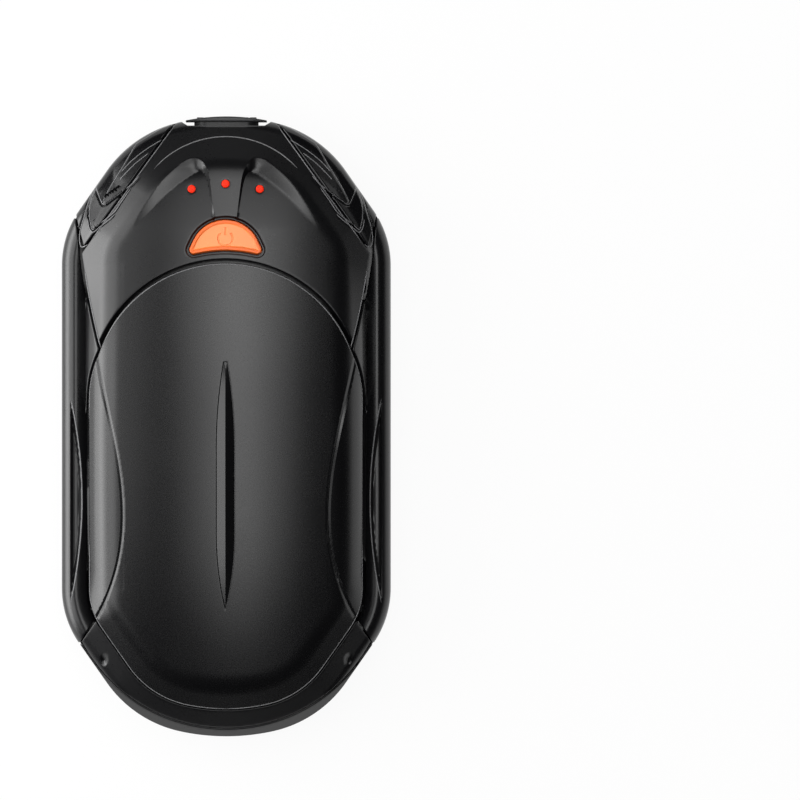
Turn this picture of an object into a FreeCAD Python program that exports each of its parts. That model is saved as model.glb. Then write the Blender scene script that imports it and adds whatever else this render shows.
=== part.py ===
"""Rechargeable hand warmer: a pebble-shaped pocket heater that lies on its back.

Frame: +X to the right and +Y towards the charging port as the front is seen, +Z out of the front.
The origin is in the middle of the back face. All lengths are millimetres.
"""
import FreeCAD, Part
import math
import os

Vector = FreeCAD.Vector

# Body outline, seen from the front: straight sides, shoulder arcs, slanted flats, corner arcs
# and flatter ends.
HALF_WIDTH = 28.6
STRAIGHT_HALF = 28.05
SHOULDER_RADIUS = 16.8
SHOULDER_TURN = math.radians(35)
FLAT_LENGTH = 8.31
END_RADIUS = 38.0
END_TURN = math.radians(12.2)

# Body heights above the table, and the rounds between them.
SHELF_HEIGHT = 15.5
TOP_HEIGHT = 26.0
PARTING_HEIGHT = 11.0
BACK_EDGE_RADIUS = 7.0
SHELF_EDGE_RADIUS = 3.0

# Raised dome of the front: how far it stands in from the outline, its edge round and its two crowns.
DOME_INSET = 4.2
DOME_EDGE_RADIUS = 9.0
CROWN_ACROSS = 70.0
CROWN_ALONG = 220.0

# Walls and gaps.
HOUSING_WALL = 2.6
TRIM_THICKNESS = 1.4
BED_GAP = 0.1
SEAM = 0.25
OVERRUN = 2.0
SAME_PLACE = 0.003

# Front heat panel: the seam arc at its top, its side inset and the ledge that carries it.
PANEL_INSET = 4.7
PANEL_LIFT = 0.15
PANEL_LEDGE = 3.4
PANEL_ARC_APEX_SHARE = 0.528
PANEL_CORNER_SHARES = (0.768, 0.2407)
PANEL_SIDE_START_SHARE = 0.0856
SPINE_END_SHARES = (0.208, -0.583)
SPINE_HALF_WIDTH = 1.25
SPINE_CREST_HALF_WIDTH = 0.5
SPINE_FOOT_HEIGHT = 0.3
SPINE_HEIGHT = 0.8
CREASE_BOW_SHARES = (0.619, -0.2375)
CREASE_WIDTH = 0.5
CREASE_DEPTH = 0.35

# Side grips: the seam that bounds each one, how far it wraps to the back, and its lens-shaped groove.
GRIP_TOP_SHARES = (0.916, 0.6815)
GRIP_BOW_SHARES = (0.86, 0.461)
GRIP_HEEL_SHARES = (0.786, -0.6155)
GRIP_END_SHARES = (0.892, -0.695)
GRIP_LOW = 6.5
GROOVE_CHORD_INSET = 1.5
GROOVE_BOW_INSET = 3.6
GROOVE_END_SHARES = (0.102, -0.577)
GROOVE_DEPTH = 0.8

# Shoulder guards: three scales, each standing higher than the one below it.
GUARD_TOP_SHARES = (0.332, 0.9735)
GUARD_TIP_SHARES = (0.865, 0.58)
SCALE_TIP_SHARES = ((0.75, 0.719), (0.807, 0.635))
SCALE_INNER_SHARES = ((0.52, 0.803), (0.55, 0.772))
SCALE_OUTER_SHARES = ((0.83, 0.79), (0.9, 0.715))
SCALE_HEIGHTS = (1.0, 0.65)
GUARD_HEIGHT = 0.3

# Tail lip: the crescent of the back housing that shows below the front housing.
TAIL_END_SHARES = (0.798, -0.764)
TAIL_APEX_SHARE = -0.974
TAIL_RELIEF = 0.6

# Brow recesses on the head, on either side of the middle lamp.
BROW_SHARES = ((0.542, 0.65), (0.42, 0.758), (0.322, 0.812), (0.21, 0.84),
               (0.14, 0.825), (0.105, 0.775), (0.077, 0.7), (0.22, 0.643))
BROW_RUNOUT_SHARE = 0.625
BROW_TILT = math.radians(20)

# Power button: a domed half moon with a flange below the wall and a stem on the switch.
BUTTON_HALF_WIDTH = 6.2
BUTTON_HEIGHT = 5.8
BUTTON_PANEL_GAP = 1.58
BUTTON_CROWN_RADIUS = 6.1
BUTTON_HOLLOW = 0.55
BUTTON_CORNER = 0.7
BUTTON_GAP = 0.35
BUTTON_PROUD = 0.35
BUTTON_FLANGE = 0.8
BUTTON_FLANGE_THICKNESS = 1.0
BUTTON_STOP_GAP = 0.2
BUTTON_STEM_RADIUS = 1.6

# Indicator lamps and their light pipe.
LAMP_SPACING = 5.9
LAMP_STEP = 0.9
LAMP_RADIUS = 0.7
LAMP_PROUD = 0.1
PIPE_GAP = 0.1
PIPE_SOCKET_GAP = 0.53
PIPE_BAR_STANDOFF = 2.2
PIPE_BAR_THICKNESS = 1.2
PIPE_BAR_HALF_WIDTH = 1.1
LED_LENGTH = 1.6
LED_WIDTH = 0.8
LED_HEIGHT = 0.7
LED_AIR = 0.3

# Circuit board and what stands on it.
BOARD_TOP = 9.3
BOARD_THICKNESS = 1.2
BOARD_LENGTH = 22.0
BOARD_BOSS_GAP = 0.6
BOARD_SOCKET_LAP = 2.77
BOARD_CORNER = 3.0
BOARD_CLEARANCE = 1.0
SWITCH_SIDE = 6.0
SWITCH_HEIGHT = 3.5
PLUNGER_RADIUS = 1.75
PLUNGER_HEIGHT = 5.0
PLUNGER_DEPTH = 1.0
PLUNGER_GAP = 0.08
PRESS_TRAVEL = 0.5
CHIP_SIDE = 4.0
CHIP_HEIGHT = 0.9
CHARGER_LENGTH = 5.0
CHARGER_WIDTH = 3.9
CHARGER_HEIGHT = 1.5
COIL_SIDE = 5.0
COIL_HEIGHT = 2.6
COIL_CORNER = 0.8
CAPACITOR_LENGTH = 2.0
CAPACITOR_WIDTH = 1.25
CAPACITOR_HEIGHT = 1.0
CHIP_PLACE_SHARES = (-0.62, 0.62)
CHARGER_PLACE_SHARES = (0.62, 0.62)
COIL_PLACE_SHARES = (-0.62, 0.22)
CAPACITOR_PLACE_SHARES = ((0.52, 0.16), (0.78, 0.16), (0.52, 0.30), (0.78, 0.30))

# Charging port in the top end: notch in the body, socket, hinged cover.
NOTCH_DEPTH = 1.5
NOTCH_HALF_WIDTH = 6.5
NOTCH_MOUTH_HALF_WIDTH = 7.6
PORT_HEIGHT = 11.0
PORT_BLOCK_HALF_WIDTH = 8.0
PORT_BLOCK_DEPTH = 3.6
PORT_BLOCK_HALF_HEIGHT = 4.4
SOCKET_WIDTH = 8.94
SOCKET_HEIGHT = 3.26
SOCKET_WALL = 0.3
SOCKET_LENGTH = 7.35
SOCKET_GAP = 0.2
TONGUE_WIDTH = 6.69
TONGUE_THICKNESS = 0.7
TONGUE_LENGTH = 5.2
PLUG_WIDTH = 11.2
PLUG_HEIGHT = 4.6
PLUG_DEPTH = 1.0
PLUG_BEVEL = 0.5
PLUG_GAP = 0.25
LID_HALF_WIDTH = 7.03
LID_GAP = 0.66
LID_HEIGHT = 0.94
LID_TIP_HEIGHT = 0.25
LID_FRONT = 14.4
LID_CORNER = 2.0
HINGE_HEIGHT = 6.7
KNUCKLE_HALF_LENGTH = 3.8
HINGE_PIN_RADIUS = 0.3
HINGE_PIN_GAP = 0.04
EAR_LENGTH = 1.2
EAR_GAP = 0.2

# Back heat panel and the ledge that carries it.
BACK_PANEL_INSET = 7.6
BACK_PANEL_THICKNESS = 1.2
BACK_PANEL_LEDGE = 4.0

# Heating films, foam pads, thermistor and the two battery cells between them.
FILM_THICKNESS = 0.25
FILM_GAP = 0.05
FILM_MARGIN = 0.6
FOAM_SIDE_INSET = 1.5
FOAM_END_INSET = 3.0
FOAM_CORNER = 4.0
CELL_SIDE_ROOM = 11.6
CELL_BOARD_GAP = 2.5
CELL_BOSS_GAP = 2.5
CELL_TOP_ROOM = 9.1
CELL_CORNER = 2.5
CELL_STACK_GAP = 0.1
CELL_BOTTOM = 4.2
RIB_THICKNESS = 1.2
RIB_LENGTH = 8.0
RIB_HEIGHT = 6.0
RIB_GAP = 0.2
RIB_PLACE_SHARES = (0.25, 0.75)
THERMISTOR_RADIUS = 0.8
THERMISTOR_LENGTH = 3.0
THERMISTOR_OFFSET = 8.0
THERMISTOR_POCKET_GAP = 0.15
LEAD_RADIUS = 0.6
LEAD_SPACING = 3.0
LEAD_EXIT_RUN = 3.2
PROTECTION_BOARD_THICKNESS = 1.0
PROTECTION_BOARD_HALF_WIDTH = 12.0
PROTECTION_BOARD_HEIGHT = 5.0

# Housing screws, driven from the back under the back panel, and the board's posts and screws.
SCREW_TOP_SHARES = (0.6224, 0.5016)
SCREW_BOTTOM_SHARES = (0.4231, -0.7375)
SCREW_RADIUS = 1.1
SCREW_HEAD_RADIUS = 2.1
SCREW_HEAD_HEIGHT = 1.3
SCREW_LENGTH = 12.0
SCREW_TIP_GAP = 0.5
SCREW_GAP = 0.15
SCREW_BITE_GAP = 0.02
BOSS_RADIUS = 2.7
BOSS_SEAT = 3.2
POST_RADIUS = 2.0
POST_PLACE_SHARES = (0.78, 0.45)
BOARD_SCREW_RADIUS = 0.8
BOARD_SCREW_HEAD_RADIUS = 1.5
BOARD_SCREW_HEAD_HEIGHT = 0.9
BOARD_SCREW_LENGTH = 4.5

# Worked-out places.
FLAT_END_X = (HALF_WIDTH - SHOULDER_RADIUS * (1 - math.cos(SHOULDER_TURN))
              - FLAT_LENGTH * math.sin(SHOULDER_TURN))
FLAT_END_Y = (STRAIGHT_HALF + SHOULDER_RADIUS * math.sin(SHOULDER_TURN)
              + FLAT_LENGTH * math.cos(SHOULDER_TURN))
CORNER_RADIUS = ((FLAT_END_X - END_RADIUS * math.sin(END_TURN))
                 / (math.cos(SHOULDER_TURN) - math.sin(END_TURN)))
CORNER_X = FLAT_END_X - CORNER_RADIUS * math.cos(SHOULDER_TURN)
CORNER_Y = FLAT_END_Y - CORNER_RADIUS * math.sin(SHOULDER_TURN)
BODY_HALF = CORNER_Y + END_RADIUS - (END_RADIUS - CORNER_RADIUS) * math.cos(END_TURN)
NOTCH_FLAT = BODY_HALF - NOTCH_DEPTH
LID_BOTTOM = NOTCH_FLAT + LID_GAP
COVER_TOP = LID_BOTTOM + LID_HEIGHT
BODY_SHIFT = (BODY_HALF - COVER_TOP) / 2
POCKET_DEPTH = TRIM_THICKNESS + BED_GAP
PANEL_APEX = PANEL_ARC_APEX_SHARE * BODY_HALF
BUTTON_BASE = PANEL_APEX + BUTTON_PANEL_GAP
BUTTON_CENTRE = BUTTON_BASE + BUTTON_HEIGHT / 2
BUTTON_TOP = BUTTON_BASE + BUTTON_HEIGHT
FLANGE_END = BUTTON_TOP + BUTTON_FLANGE
FLANGE_CROWN_DROP = FLANGE_END ** 2 / (2 * (CROWN_ALONG - HOUSING_WALL))
BUTTON_FLANGE_TOP = TOP_HEIGHT - HOUSING_WALL - BUTTON_STOP_GAP - FLANGE_CROWN_DROP
SOCKET_MOUTH = NOTCH_FLAT - PLUG_DEPTH - PLUG_GAP
SCREW_PLACES = [(side * x * HALF_WIDTH, y * BODY_HALF)
                for x, y in (SCREW_TOP_SHARES, SCREW_BOTTOM_SHARES) for side in (-1, 1)]
BOARD_BOTTOM = BOARD_TOP - BOARD_THICKNESS
SOCKET_BACK = SOCKET_MOUTH - SOCKET_LENGTH
BOARD_END = SOCKET_BACK + BOARD_SOCKET_LAP
BOARD_START = BOARD_END - BOARD_LENGTH
BOARD_HALF_WIDTH = SCREW_TOP_SHARES[0] * HALF_WIDTH - BOSS_RADIUS - BOARD_BOSS_GAP
PLUNGER_TOP = BOARD_TOP + PLUNGER_HEIGHT
PIPE_BAR_BOTTOM = BOARD_TOP + PIPE_BAR_STANDOFF
KNUCKLE_RADIUS = LID_HEIGHT / 2
HINGE_LEVEL = LID_BOTTOM + KNUCKLE_RADIUS
PIN_HALF_LENGTH = KNUCKLE_HALF_LENGTH + EAR_GAP + EAR_LENGTH
CELL_HALF_WIDTH = HALF_WIDTH - CELL_SIDE_ROOM
CELL_TOP_END = BOARD_START - CELL_BOARD_GAP
CELL_BOTTOM_END = SCREW_BOTTOM_SHARES[1] * BODY_HALF + BOSS_RADIUS + CELL_BOSS_GAP
CELL_LENGTH = CELL_TOP_END - CELL_BOTTOM_END
CELL_MIDDLE = (CELL_TOP_END + CELL_BOTTOM_END) / 2
CELL_STACK_TOP = TOP_HEIGHT - CELL_TOP_ROOM
CELL_THICKNESS = (CELL_STACK_TOP - CELL_BOTTOM - CELL_STACK_GAP) / 2
FOAM_HALF_WIDTH = CELL_HALF_WIDTH - FOAM_SIDE_INSET
FOAM_HALF_LENGTH = CELL_LENGTH / 2 - FOAM_END_INSET
LAMP_LEVEL = SOCKET_BACK - PIPE_SOCKET_GAP - PIPE_BAR_HALF_WIDTH
LAMP_PLACES = ((-LAMP_SPACING, LAMP_LEVEL - LAMP_STEP), (0, LAMP_LEVEL),
               (LAMP_SPACING, LAMP_LEVEL - LAMP_STEP))


def place(shares, side=1):
    """A point of the front view from shares of the half width and of the half length."""
    return Vector(side * shares[0] * HALF_WIDTH, shares[1] * BODY_HALF, 0)


def arc(a, b, c):
    return Part.Arc(a, b, c).toShape()


def line(a, b):
    return Part.LineSegment(a, b).toShape()


def polygon(points):
    """Flat face with straight sides through the points."""
    return Part.Face(Part.makePolygon(list(points) + [points[0]]))


def rod(x, y, radius, bottom, top):
    return Part.makeCylinder(radius, top - bottom, Vector(x, y, bottom))


def block(x0, x1, y0, y1, z0, z1):
    return Part.makeBox(x1 - x0, y1 - y0, z1 - z0, Vector(x0, y0, z0))


def prism(face, bottom=-OVERRUN, top=TOP_HEIGHT + OVERRUN):
    """The face, drawn at height zero, carried from one height to another."""
    moved = face.copy()
    moved.translate(Vector(0, 0, bottom))
    return moved.extrude(Vector(0, 0, top - bottom))


def grown(face, distance):
    """The face with every side moved outwards, corners kept sharp."""
    return Part.Face(face.OuterWire.makeOffset2D(distance, 2))


def fused(shapes):
    first, *rest = shapes
    return first.multiFuse(rest).removeSplitter() if rest else first


def rounded_block(half_width, y0, y1, z0, z1, corner):
    """Box centred on the middle plane, with its four upright edges rounded."""
    box = block(-half_width, half_width, y0, y1, z0, z1)
    upright = [e for e in box.Edges if e.BoundBox.ZLength > (z1 - z0) / 2]
    return box.makeFillet(corner, upright)


def end_points(inset, side, end):
    """Points along one quarter of the outline: three on the shoulder arc, three on the corner arc."""

    def on_arc(x, y, radius, turn):
        reach = radius - inset
        return Vector(side * (x + reach * math.cos(turn)), end * (y + reach * math.sin(turn)), 0)

    shoulder = HALF_WIDTH - SHOULDER_RADIUS, STRAIGHT_HALF, SHOULDER_RADIUS
    corner = CORNER_X, CORNER_Y, CORNER_RADIUS
    last = math.pi / 2 - END_TURN
    return ([on_arc(*shoulder, turn) for turn in (0, SHOULDER_TURN / 2, SHOULDER_TURN)]
            + [on_arc(*corner, turn) for turn in (SHOULDER_TURN, (SHOULDER_TURN + last) / 2, last)])


def end_edges(inset, end):
    """The edges of one end of the outline, from its right side round to its left side."""
    edges = []
    for side in (1, -1):
        points = end_points(inset, side, end)
        edges += [arc(*points[:3]), line(points[2], points[3]), arc(*points[3:])]
    apex = Vector(0, end * (BODY_HALF - inset), 0)
    return edges + [arc(end_points(inset, 1, end)[-1], apex, end_points(inset, -1, end)[-1])]


def outline_face(inset):
    """The body's outline, moved inwards by the inset."""
    top = end_edges(inset, 1)
    bottom = end_edges(inset, -1)
    right = line(end_points(inset, 1, -1)[0], end_points(inset, 1, 1)[0])
    left = line(end_points(inset, -1, 1)[0], end_points(inset, -1, -1)[0])
    return Part.Face(Part.Wire(Part.__sortEdges__(top + bottom + [left, right])))


def flat_edges(shape, height):
    """Edges that lie at one height."""
    return [e for e in shape.Edges
            if abs(e.BoundBox.ZMin - height) < SAME_PLACE and abs(e.BoundBox.ZMax - height) < SAME_PLACE]


def tray(inset):
    """The lower body, up to the shelf round the dome, moved inwards by the inset."""
    solid = prism(outline_face(inset), inset, SHELF_HEIGHT - inset)
    solid = solid.makeFillet(BACK_EDGE_RADIUS - inset, flat_edges(solid, inset))
    if SHELF_EDGE_RADIUS - inset > BED_GAP:
        solid = solid.makeFillet(SHELF_EDGE_RADIUS - inset, flat_edges(solid, SHELF_HEIGHT - inset))
    return solid


def dome(inset):
    """The crowned front, rounded at its edge, moved inwards by the inset."""
    ring = Part.makeTorus(CROWN_ALONG - CROWN_ACROSS, CROWN_ACROSS - inset,
                          Vector(0, 0, TOP_HEIGHT - CROWN_ALONG), Vector(1, 0, 0))
    column = prism(outline_face(DOME_INSET + inset), BACK_EDGE_RADIUS)
    solid = column.common(ring)
    rim = [e for e in solid.Edges
           if e.BoundBox.ZMin > BACK_EDGE_RADIUS + OVERRUN
           and max(e.BoundBox.XLength, e.BoundBox.YLength) > SEAM]
    return solid.makeFillet(DOME_EDGE_RADIUS - inset, rim)


made_outers = {}


def outer(inset):
    """The whole outer form, moved inwards by the inset."""
    if inset not in made_outers:
        made_outers[inset] = tray(inset).fuse(dome(inset)).removeSplitter()
    return made_outers[inset]


def above(height):
    return block(-HALF_WIDTH - OVERRUN, HALF_WIDTH + OVERRUN, -BODY_HALF - OVERRUN,
                 BODY_HALF + OVERRUN, height, TOP_HEIGHT + OVERRUN)


def below(height):
    return block(-HALF_WIDTH - OVERRUN, HALF_WIDTH + OVERRUN, -BODY_HALF - OVERRUN,
                 BODY_HALF + OVERRUN, -OVERRUN, height)


def crossing(centre, radius, other_centre, other_radius):
    """The upper of the two points where two circles cross."""
    apart = other_centre - centre
    along = (apart.Length ** 2 + radius ** 2 - other_radius ** 2) / (2 * apart.Length)
    aside = math.sqrt(radius ** 2 - along ** 2)
    way = apart / apart.Length
    points = [centre + way * along + Vector(-way.y, way.x, 0) * step for step in (-aside, aside)]
    return max(points, key=lambda point: point.y)


def panel_face(grow=0):
    """Front panel: round seam arc at the top, sides that bow into straight runs, and the body's lower end."""
    corner = place(PANEL_CORNER_SHARES)
    drop = PANEL_APEX - corner.y
    arc_radius = (drop ** 2 + corner.x ** 2) / (2 * drop)
    arc_centre = Vector(0, PANEL_APEX - arc_radius, 0)
    side_x = HALF_WIDTH - PANEL_INSET
    side_y = PANEL_SIDE_START_SHARE * BODY_HALF
    rise, step = corner.y - side_y, side_x - corner.x
    bow_radius = (rise ** 2 + step ** 2) / (2 * step)
    bow_centre = Vector(side_x - bow_radius, side_y, 0)
    corner = crossing(arc_centre, arc_radius + grow, bow_centre, bow_radius + grow)
    turn = math.asin((corner.y - side_y) / (bow_radius + grow)) / 2
    bend = bow_centre + Vector(math.cos(turn), math.sin(turn), 0) * (bow_radius + grow)
    apex = Vector(0, PANEL_APEX + grow, 0)
    edges = [arc(Vector(-corner.x, corner.y, 0), apex, corner)]
    for side in (1, -1):
        start = Vector(side * (side_x + grow), side_y, 0)
        edges.append(arc(Vector(side * corner.x, corner.y, 0), Vector(side * bend.x, bend.y, 0), start))
        edges.append(line(start, end_points(PANEL_INSET - grow, side, -1)[0]))
    return Part.Face(Part.Wire(Part.__sortEdges__(edges + end_edges(PANEL_INSET - grow, -1))))


def grip_face(side):
    """Everything outside the seam of one side grip; the panel and the guard are cut from it later."""
    top, bow = place(GRIP_TOP_SHARES, side), place(GRIP_BOW_SHARES, side)
    corner = place(PANEL_CORNER_SHARES, side)
    heel, end = place(GRIP_HEEL_SHARES, side), place(GRIP_END_SHARES, side)
    heel_run = end - heel
    end_out = end + heel_run
    top_out = guard_run_out(side)
    far = side * (HALF_WIDTH + OVERRUN)
    low, high = Vector(far, end_out.y, 0), Vector(far, top_out.y, 0)
    edges = [arc(top, bow, corner), line(corner, heel), line(heel, end_out),
             line(end_out, low), line(low, high), line(high, top_out), line(top_out, top)]
    return Part.Face(Part.Wire(Part.__sortEdges__(edges)))


def guard_run_out(side):
    """Where the lower edge of a guard, carried on past the outline, ends."""
    shoulder = place(GRIP_TOP_SHARES, side)
    run = shoulder - place(GUARD_TIP_SHARES, side)
    return shoulder + run * (OVERRUN / run.Length)


def guard_face(side):
    """Shoulder guard: the piece that a straight cut takes off the shoulder of the outline."""
    top, tip = place(GUARD_TOP_SHARES, side), place(GUARD_TIP_SHARES, side)
    cut = tip - top
    start = top - cut * (OVERRUN / cut.Length)
    low = guard_run_out(side)
    far = side * (HALF_WIDTH + OVERRUN)
    return polygon([start, tip, low, Vector(far, low.y, 0), Vector(far, start.y, 0)])


def scale_face(side, scale):
    """The part of a guard above one of its V-shaped scale edges."""
    tip = place(SCALE_TIP_SHARES[scale], side)
    inner, outward = place(SCALE_INNER_SHARES[scale], side), place(SCALE_OUTER_SHARES[scale], side)
    far = side * (HALF_WIDTH + OVERRUN)
    high = BODY_HALF + OVERRUN
    return polygon([tip, inner, Vector(0, inner.y, 0), Vector(0, high, 0), Vector(far, high, 0),
                    Vector(far, outward.y, 0), outward])


def tail_face(grow=0):
    """Everything below the tail arc, with the arc moved up by some growth."""
    rise = Vector(0, grow, 0)
    left, right = place(TAIL_END_SHARES, -1) + rise, place(TAIL_END_SHARES) + rise
    apex = Vector(0, TAIL_APEX_SHARE * BODY_HALF, 0) + rise
    low = -BODY_HALF - OVERRUN
    low_left, low_right = Vector(left.x, low, 0), Vector(right.x, low, 0)
    return Part.Face(Part.Wire([arc(left, apex, right), line(right, low_right),
                                line(low_right, low_left), line(low_left, left)]))


def button_core():
    """Half moon with a crowned top, slanted sides and a hollow base, drawn inside its corner rounds."""
    foot = Vector(BUTTON_HALF_WIDTH - BUTTON_CORNER, BUTTON_BASE + BUTTON_CORNER, 0)
    apex_y = BUTTON_TOP - BUTTON_CORNER
    radius = BUTTON_CROWN_RADIUS - BUTTON_CORNER
    centre = Vector(0, apex_y - radius, 0)
    reach = foot - centre
    lean = math.atan2(reach.y, reach.x) + math.acos(radius / reach.Length)
    touch = centre + Vector(math.cos(lean), math.sin(lean), 0) * radius
    mirror = Vector(-touch.x, touch.y, 0)
    left_foot = Vector(-foot.x, foot.y, 0)
    crown = arc(mirror, Vector(0, apex_y, 0), touch)
    base = arc(foot, Vector(0, foot.y + BUTTON_HOLLOW, 0), left_foot)
    return Part.Wire([crown, line(touch, foot), base, line(left_foot, mirror)])


def button_column(grow, bottom, top):
    """Column of the button's outline, grown by some distance, with round corners."""
    return prism(Part.Face(button_core().makeOffset2D(BUTTON_CORNER + grow, 0)), bottom, top)


def brow_cutter(side):
    """Space above a tilted floor inside one brow arch."""
    points = [place(share, side) for share in BROW_SHARES]
    brow = Part.BSplineCurve()
    brow.interpolate(points)
    face = Part.Face(Part.Wire([brow.toShape(), line(points[-1], points[0])]))
    runout = Vector(0, BROW_RUNOUT_SHARE * BODY_HALF, 0)
    floor_height = TOP_HEIGHT - runout.y ** 2 / (2 * CROWN_ALONG)
    space = block(-HALF_WIDTH, HALF_WIDTH, 0, BODY_HALF, floor_height, 2 * TOP_HEIGHT)
    space.rotate(Vector(0, runout.y, floor_height), Vector(1, 0, 0), -math.degrees(BROW_TILT))
    return prism(face).common(space)


def stadium(width, height, y0, y1):
    """Round-ended bar along Y, centred on the port."""
    radius = height / 2
    flat = width / 2 - radius
    low, high = PORT_HEIGHT - radius, PORT_HEIGHT + radius
    corners = [Vector(x, y0, z) for x, z in ((-flat, low), (flat, low), (flat, high), (-flat, high))]
    right = arc(corners[1], Vector(flat + radius, y0, PORT_HEIGHT), corners[2])
    left = arc(corners[3], Vector(-flat - radius, y0, PORT_HEIGHT), corners[0])
    wire = Part.Wire([line(corners[0], corners[1]), right, line(corners[2], corners[3]), left])
    return Part.Face(wire).extrude(Vector(0, y1 - y0, 0))


def port_recess():
    """Seat for the cover's plug."""
    return stadium(PLUG_WIDTH + 2 * PLUG_GAP, PLUG_HEIGHT + 2 * PLUG_GAP,
                   SOCKET_MOUTH, NOTCH_FLAT + OVERRUN)


def port_tunnel():
    """Hole that the socket stands in."""
    return stadium(SOCKET_WIDTH + 2 * SOCKET_GAP, SOCKET_HEIGHT + 2 * SOCKET_GAP,
                   NOTCH_FLAT - PORT_BLOCK_DEPTH - OVERRUN, SOCKET_MOUTH)


def notch():
    """Flat cut across the top end, with slanted ends that give a fingernail room."""
    high = BODY_HALF + OVERRUN
    rise = (BODY_HALF - NOTCH_FLAT) / 2
    flare = NOTCH_MOUTH_HALF_WIDTH - NOTCH_HALF_WIDTH
    far = NOTCH_MOUTH_HALF_WIDTH + flare
    lip = NOTCH_FLAT + rise
    points = [Vector(-NOTCH_HALF_WIDTH, NOTCH_FLAT, 0), Vector(NOTCH_HALF_WIDTH, NOTCH_FLAT, 0),
              Vector(NOTCH_MOUTH_HALF_WIDTH, lip, 0), Vector(far, high, 0),
              Vector(-far, high, 0), Vector(-NOTCH_MOUTH_HALF_WIDTH, lip, 0)]
    return prism(polygon(points))


def port_block():
    """Thick end wall round the charging port."""
    body = block(-PORT_BLOCK_HALF_WIDTH, PORT_BLOCK_HALF_WIDTH, NOTCH_FLAT - PORT_BLOCK_DEPTH, BODY_HALF,
                 PORT_HEIGHT - PORT_BLOCK_HALF_HEIGHT, PORT_HEIGHT + PORT_BLOCK_HALF_HEIGHT)
    return body.common(outer(0))


def front_housing():
    shell = outer(0).cut(outer(HOUSING_WALL))
    bosses = [rod(x, y, BOSS_RADIUS, PARTING_HEIGHT, TOP_HEIGHT).common(outer(HOUSING_WALL - BED_GAP))
              for x, y in SCREW_PLACES]
    solid = fused([shell, port_block()] + bosses).common(above(PARTING_HEIGHT + SEAM / 2))
    cover_bed = outer(POCKET_DEPTH)
    trims = [grown(make(side), SEAM) for make in (grip_face, guard_face) for side in (-1, 1)]
    for face in [panel_face(SEAM)] + trims:
        solid = solid.cut(prism(face).cut(cover_bed))
    opening = prism(panel_face(-PANEL_LEDGE), PARTING_HEIGHT)
    keep = fused([rod(x, y, BOSS_RADIUS, PARTING_HEIGHT, TOP_HEIGHT) for x, y in SCREW_PLACES])
    solid = solid.cut(opening.cut(keep))
    cuts = [prism(tail_face(SEAM)), notch(), port_recess(), port_tunnel(),
            prism(tail_face(SEAM + TAIL_RELIEF), PARTING_HEIGHT, SHELF_HEIGHT - HOUSING_WALL),
            button_column(BUTTON_GAP, PARTING_HEIGHT, TOP_HEIGHT + OVERRUN)]
    cuts += [brow_cutter(side) for side in (-1, 1)]
    cuts += [rod(x, y, LAMP_RADIUS + PIPE_GAP, PARTING_HEIGHT, TOP_HEIGHT) for x, y in LAMP_PLACES]
    pilot_end = BOSS_SEAT + SCREW_LENGTH + SCREW_TIP_GAP
    cuts += [rod(x, y, SCREW_RADIUS + SCREW_BITE_GAP, PARTING_HEIGHT, pilot_end) for x, y in SCREW_PLACES]
    return solid.cut(cuts)


def hinge_ears():
    """Two lugs on the back housing that hold the ends of the cover's pin."""
    ears = []
    for side in (-1, 1):
        start = side * (KNUCKLE_HALF_LENGTH + EAR_GAP)
        ear = Part.makeCylinder(KNUCKLE_RADIUS, EAR_LENGTH, Vector(start, HINGE_LEVEL, HINGE_HEIGHT),
                                Vector(side, 0, 0))
        x0, x1 = sorted((start, start + side * EAR_LENGTH))
        foot = block(x0, x1, NOTCH_FLAT - BED_GAP, HINGE_LEVEL,
                     HINGE_HEIGHT - KNUCKLE_RADIUS, HINGE_HEIGHT + KNUCKLE_RADIUS)
        ears.append(ear.fuse(foot))
    return ears


def hinge_rod(radius, half_length):
    """Round bar on the cover's hinge line."""
    return Part.makeCylinder(radius, 2 * half_length, Vector(-half_length, HINGE_LEVEL, HINGE_HEIGHT),
                             Vector(1, 0, 0))


def hinge_bore():
    return hinge_rod(HINGE_PIN_RADIUS + HINGE_PIN_GAP, PIN_HALF_LENGTH)


def board_post_places():
    """Two posts under the board's far corners."""
    y = BOARD_START + POST_PLACE_SHARES[1] * (BOARD_END - BOARD_START)
    return [(side * POST_PLACE_SHARES[0] * BOARD_HALF_WIDTH, y) for side in (-1, 1)]


def cell_ribs():
    """Short upright ribs that keep the cells from sliding sideways."""
    ribs = []
    for share in RIB_PLACE_SHARES:
        middle = CELL_BOTTOM_END + share * CELL_LENGTH
        for side in (-1, 1):
            x0, x1 = sorted((side * (CELL_HALF_WIDTH + RIB_GAP),
                             side * (CELL_HALF_WIDTH + RIB_GAP + RIB_THICKNESS)))
            ribs.append(block(x0, x1, middle - RIB_LENGTH / 2, middle + RIB_LENGTH / 2,
                              HOUSING_WALL - BED_GAP, HOUSING_WALL + RIB_HEIGHT))
    return ribs


def back_window(margin):
    """The opening in the floor below the cells, moved inwards by a margin."""
    field = outline_face(BACK_PANEL_INSET + BACK_PANEL_LEDGE + margin)
    end = BOARD_START - BOARD_CLEARANCE - margin
    reach = polygon([Vector(-HALF_WIDTH, -BODY_HALF, 0), Vector(HALF_WIDTH, -BODY_HALF, 0),
                     Vector(HALF_WIDTH, end, 0), Vector(-HALF_WIDTH, end, 0)])
    return field.common(reach)


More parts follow.
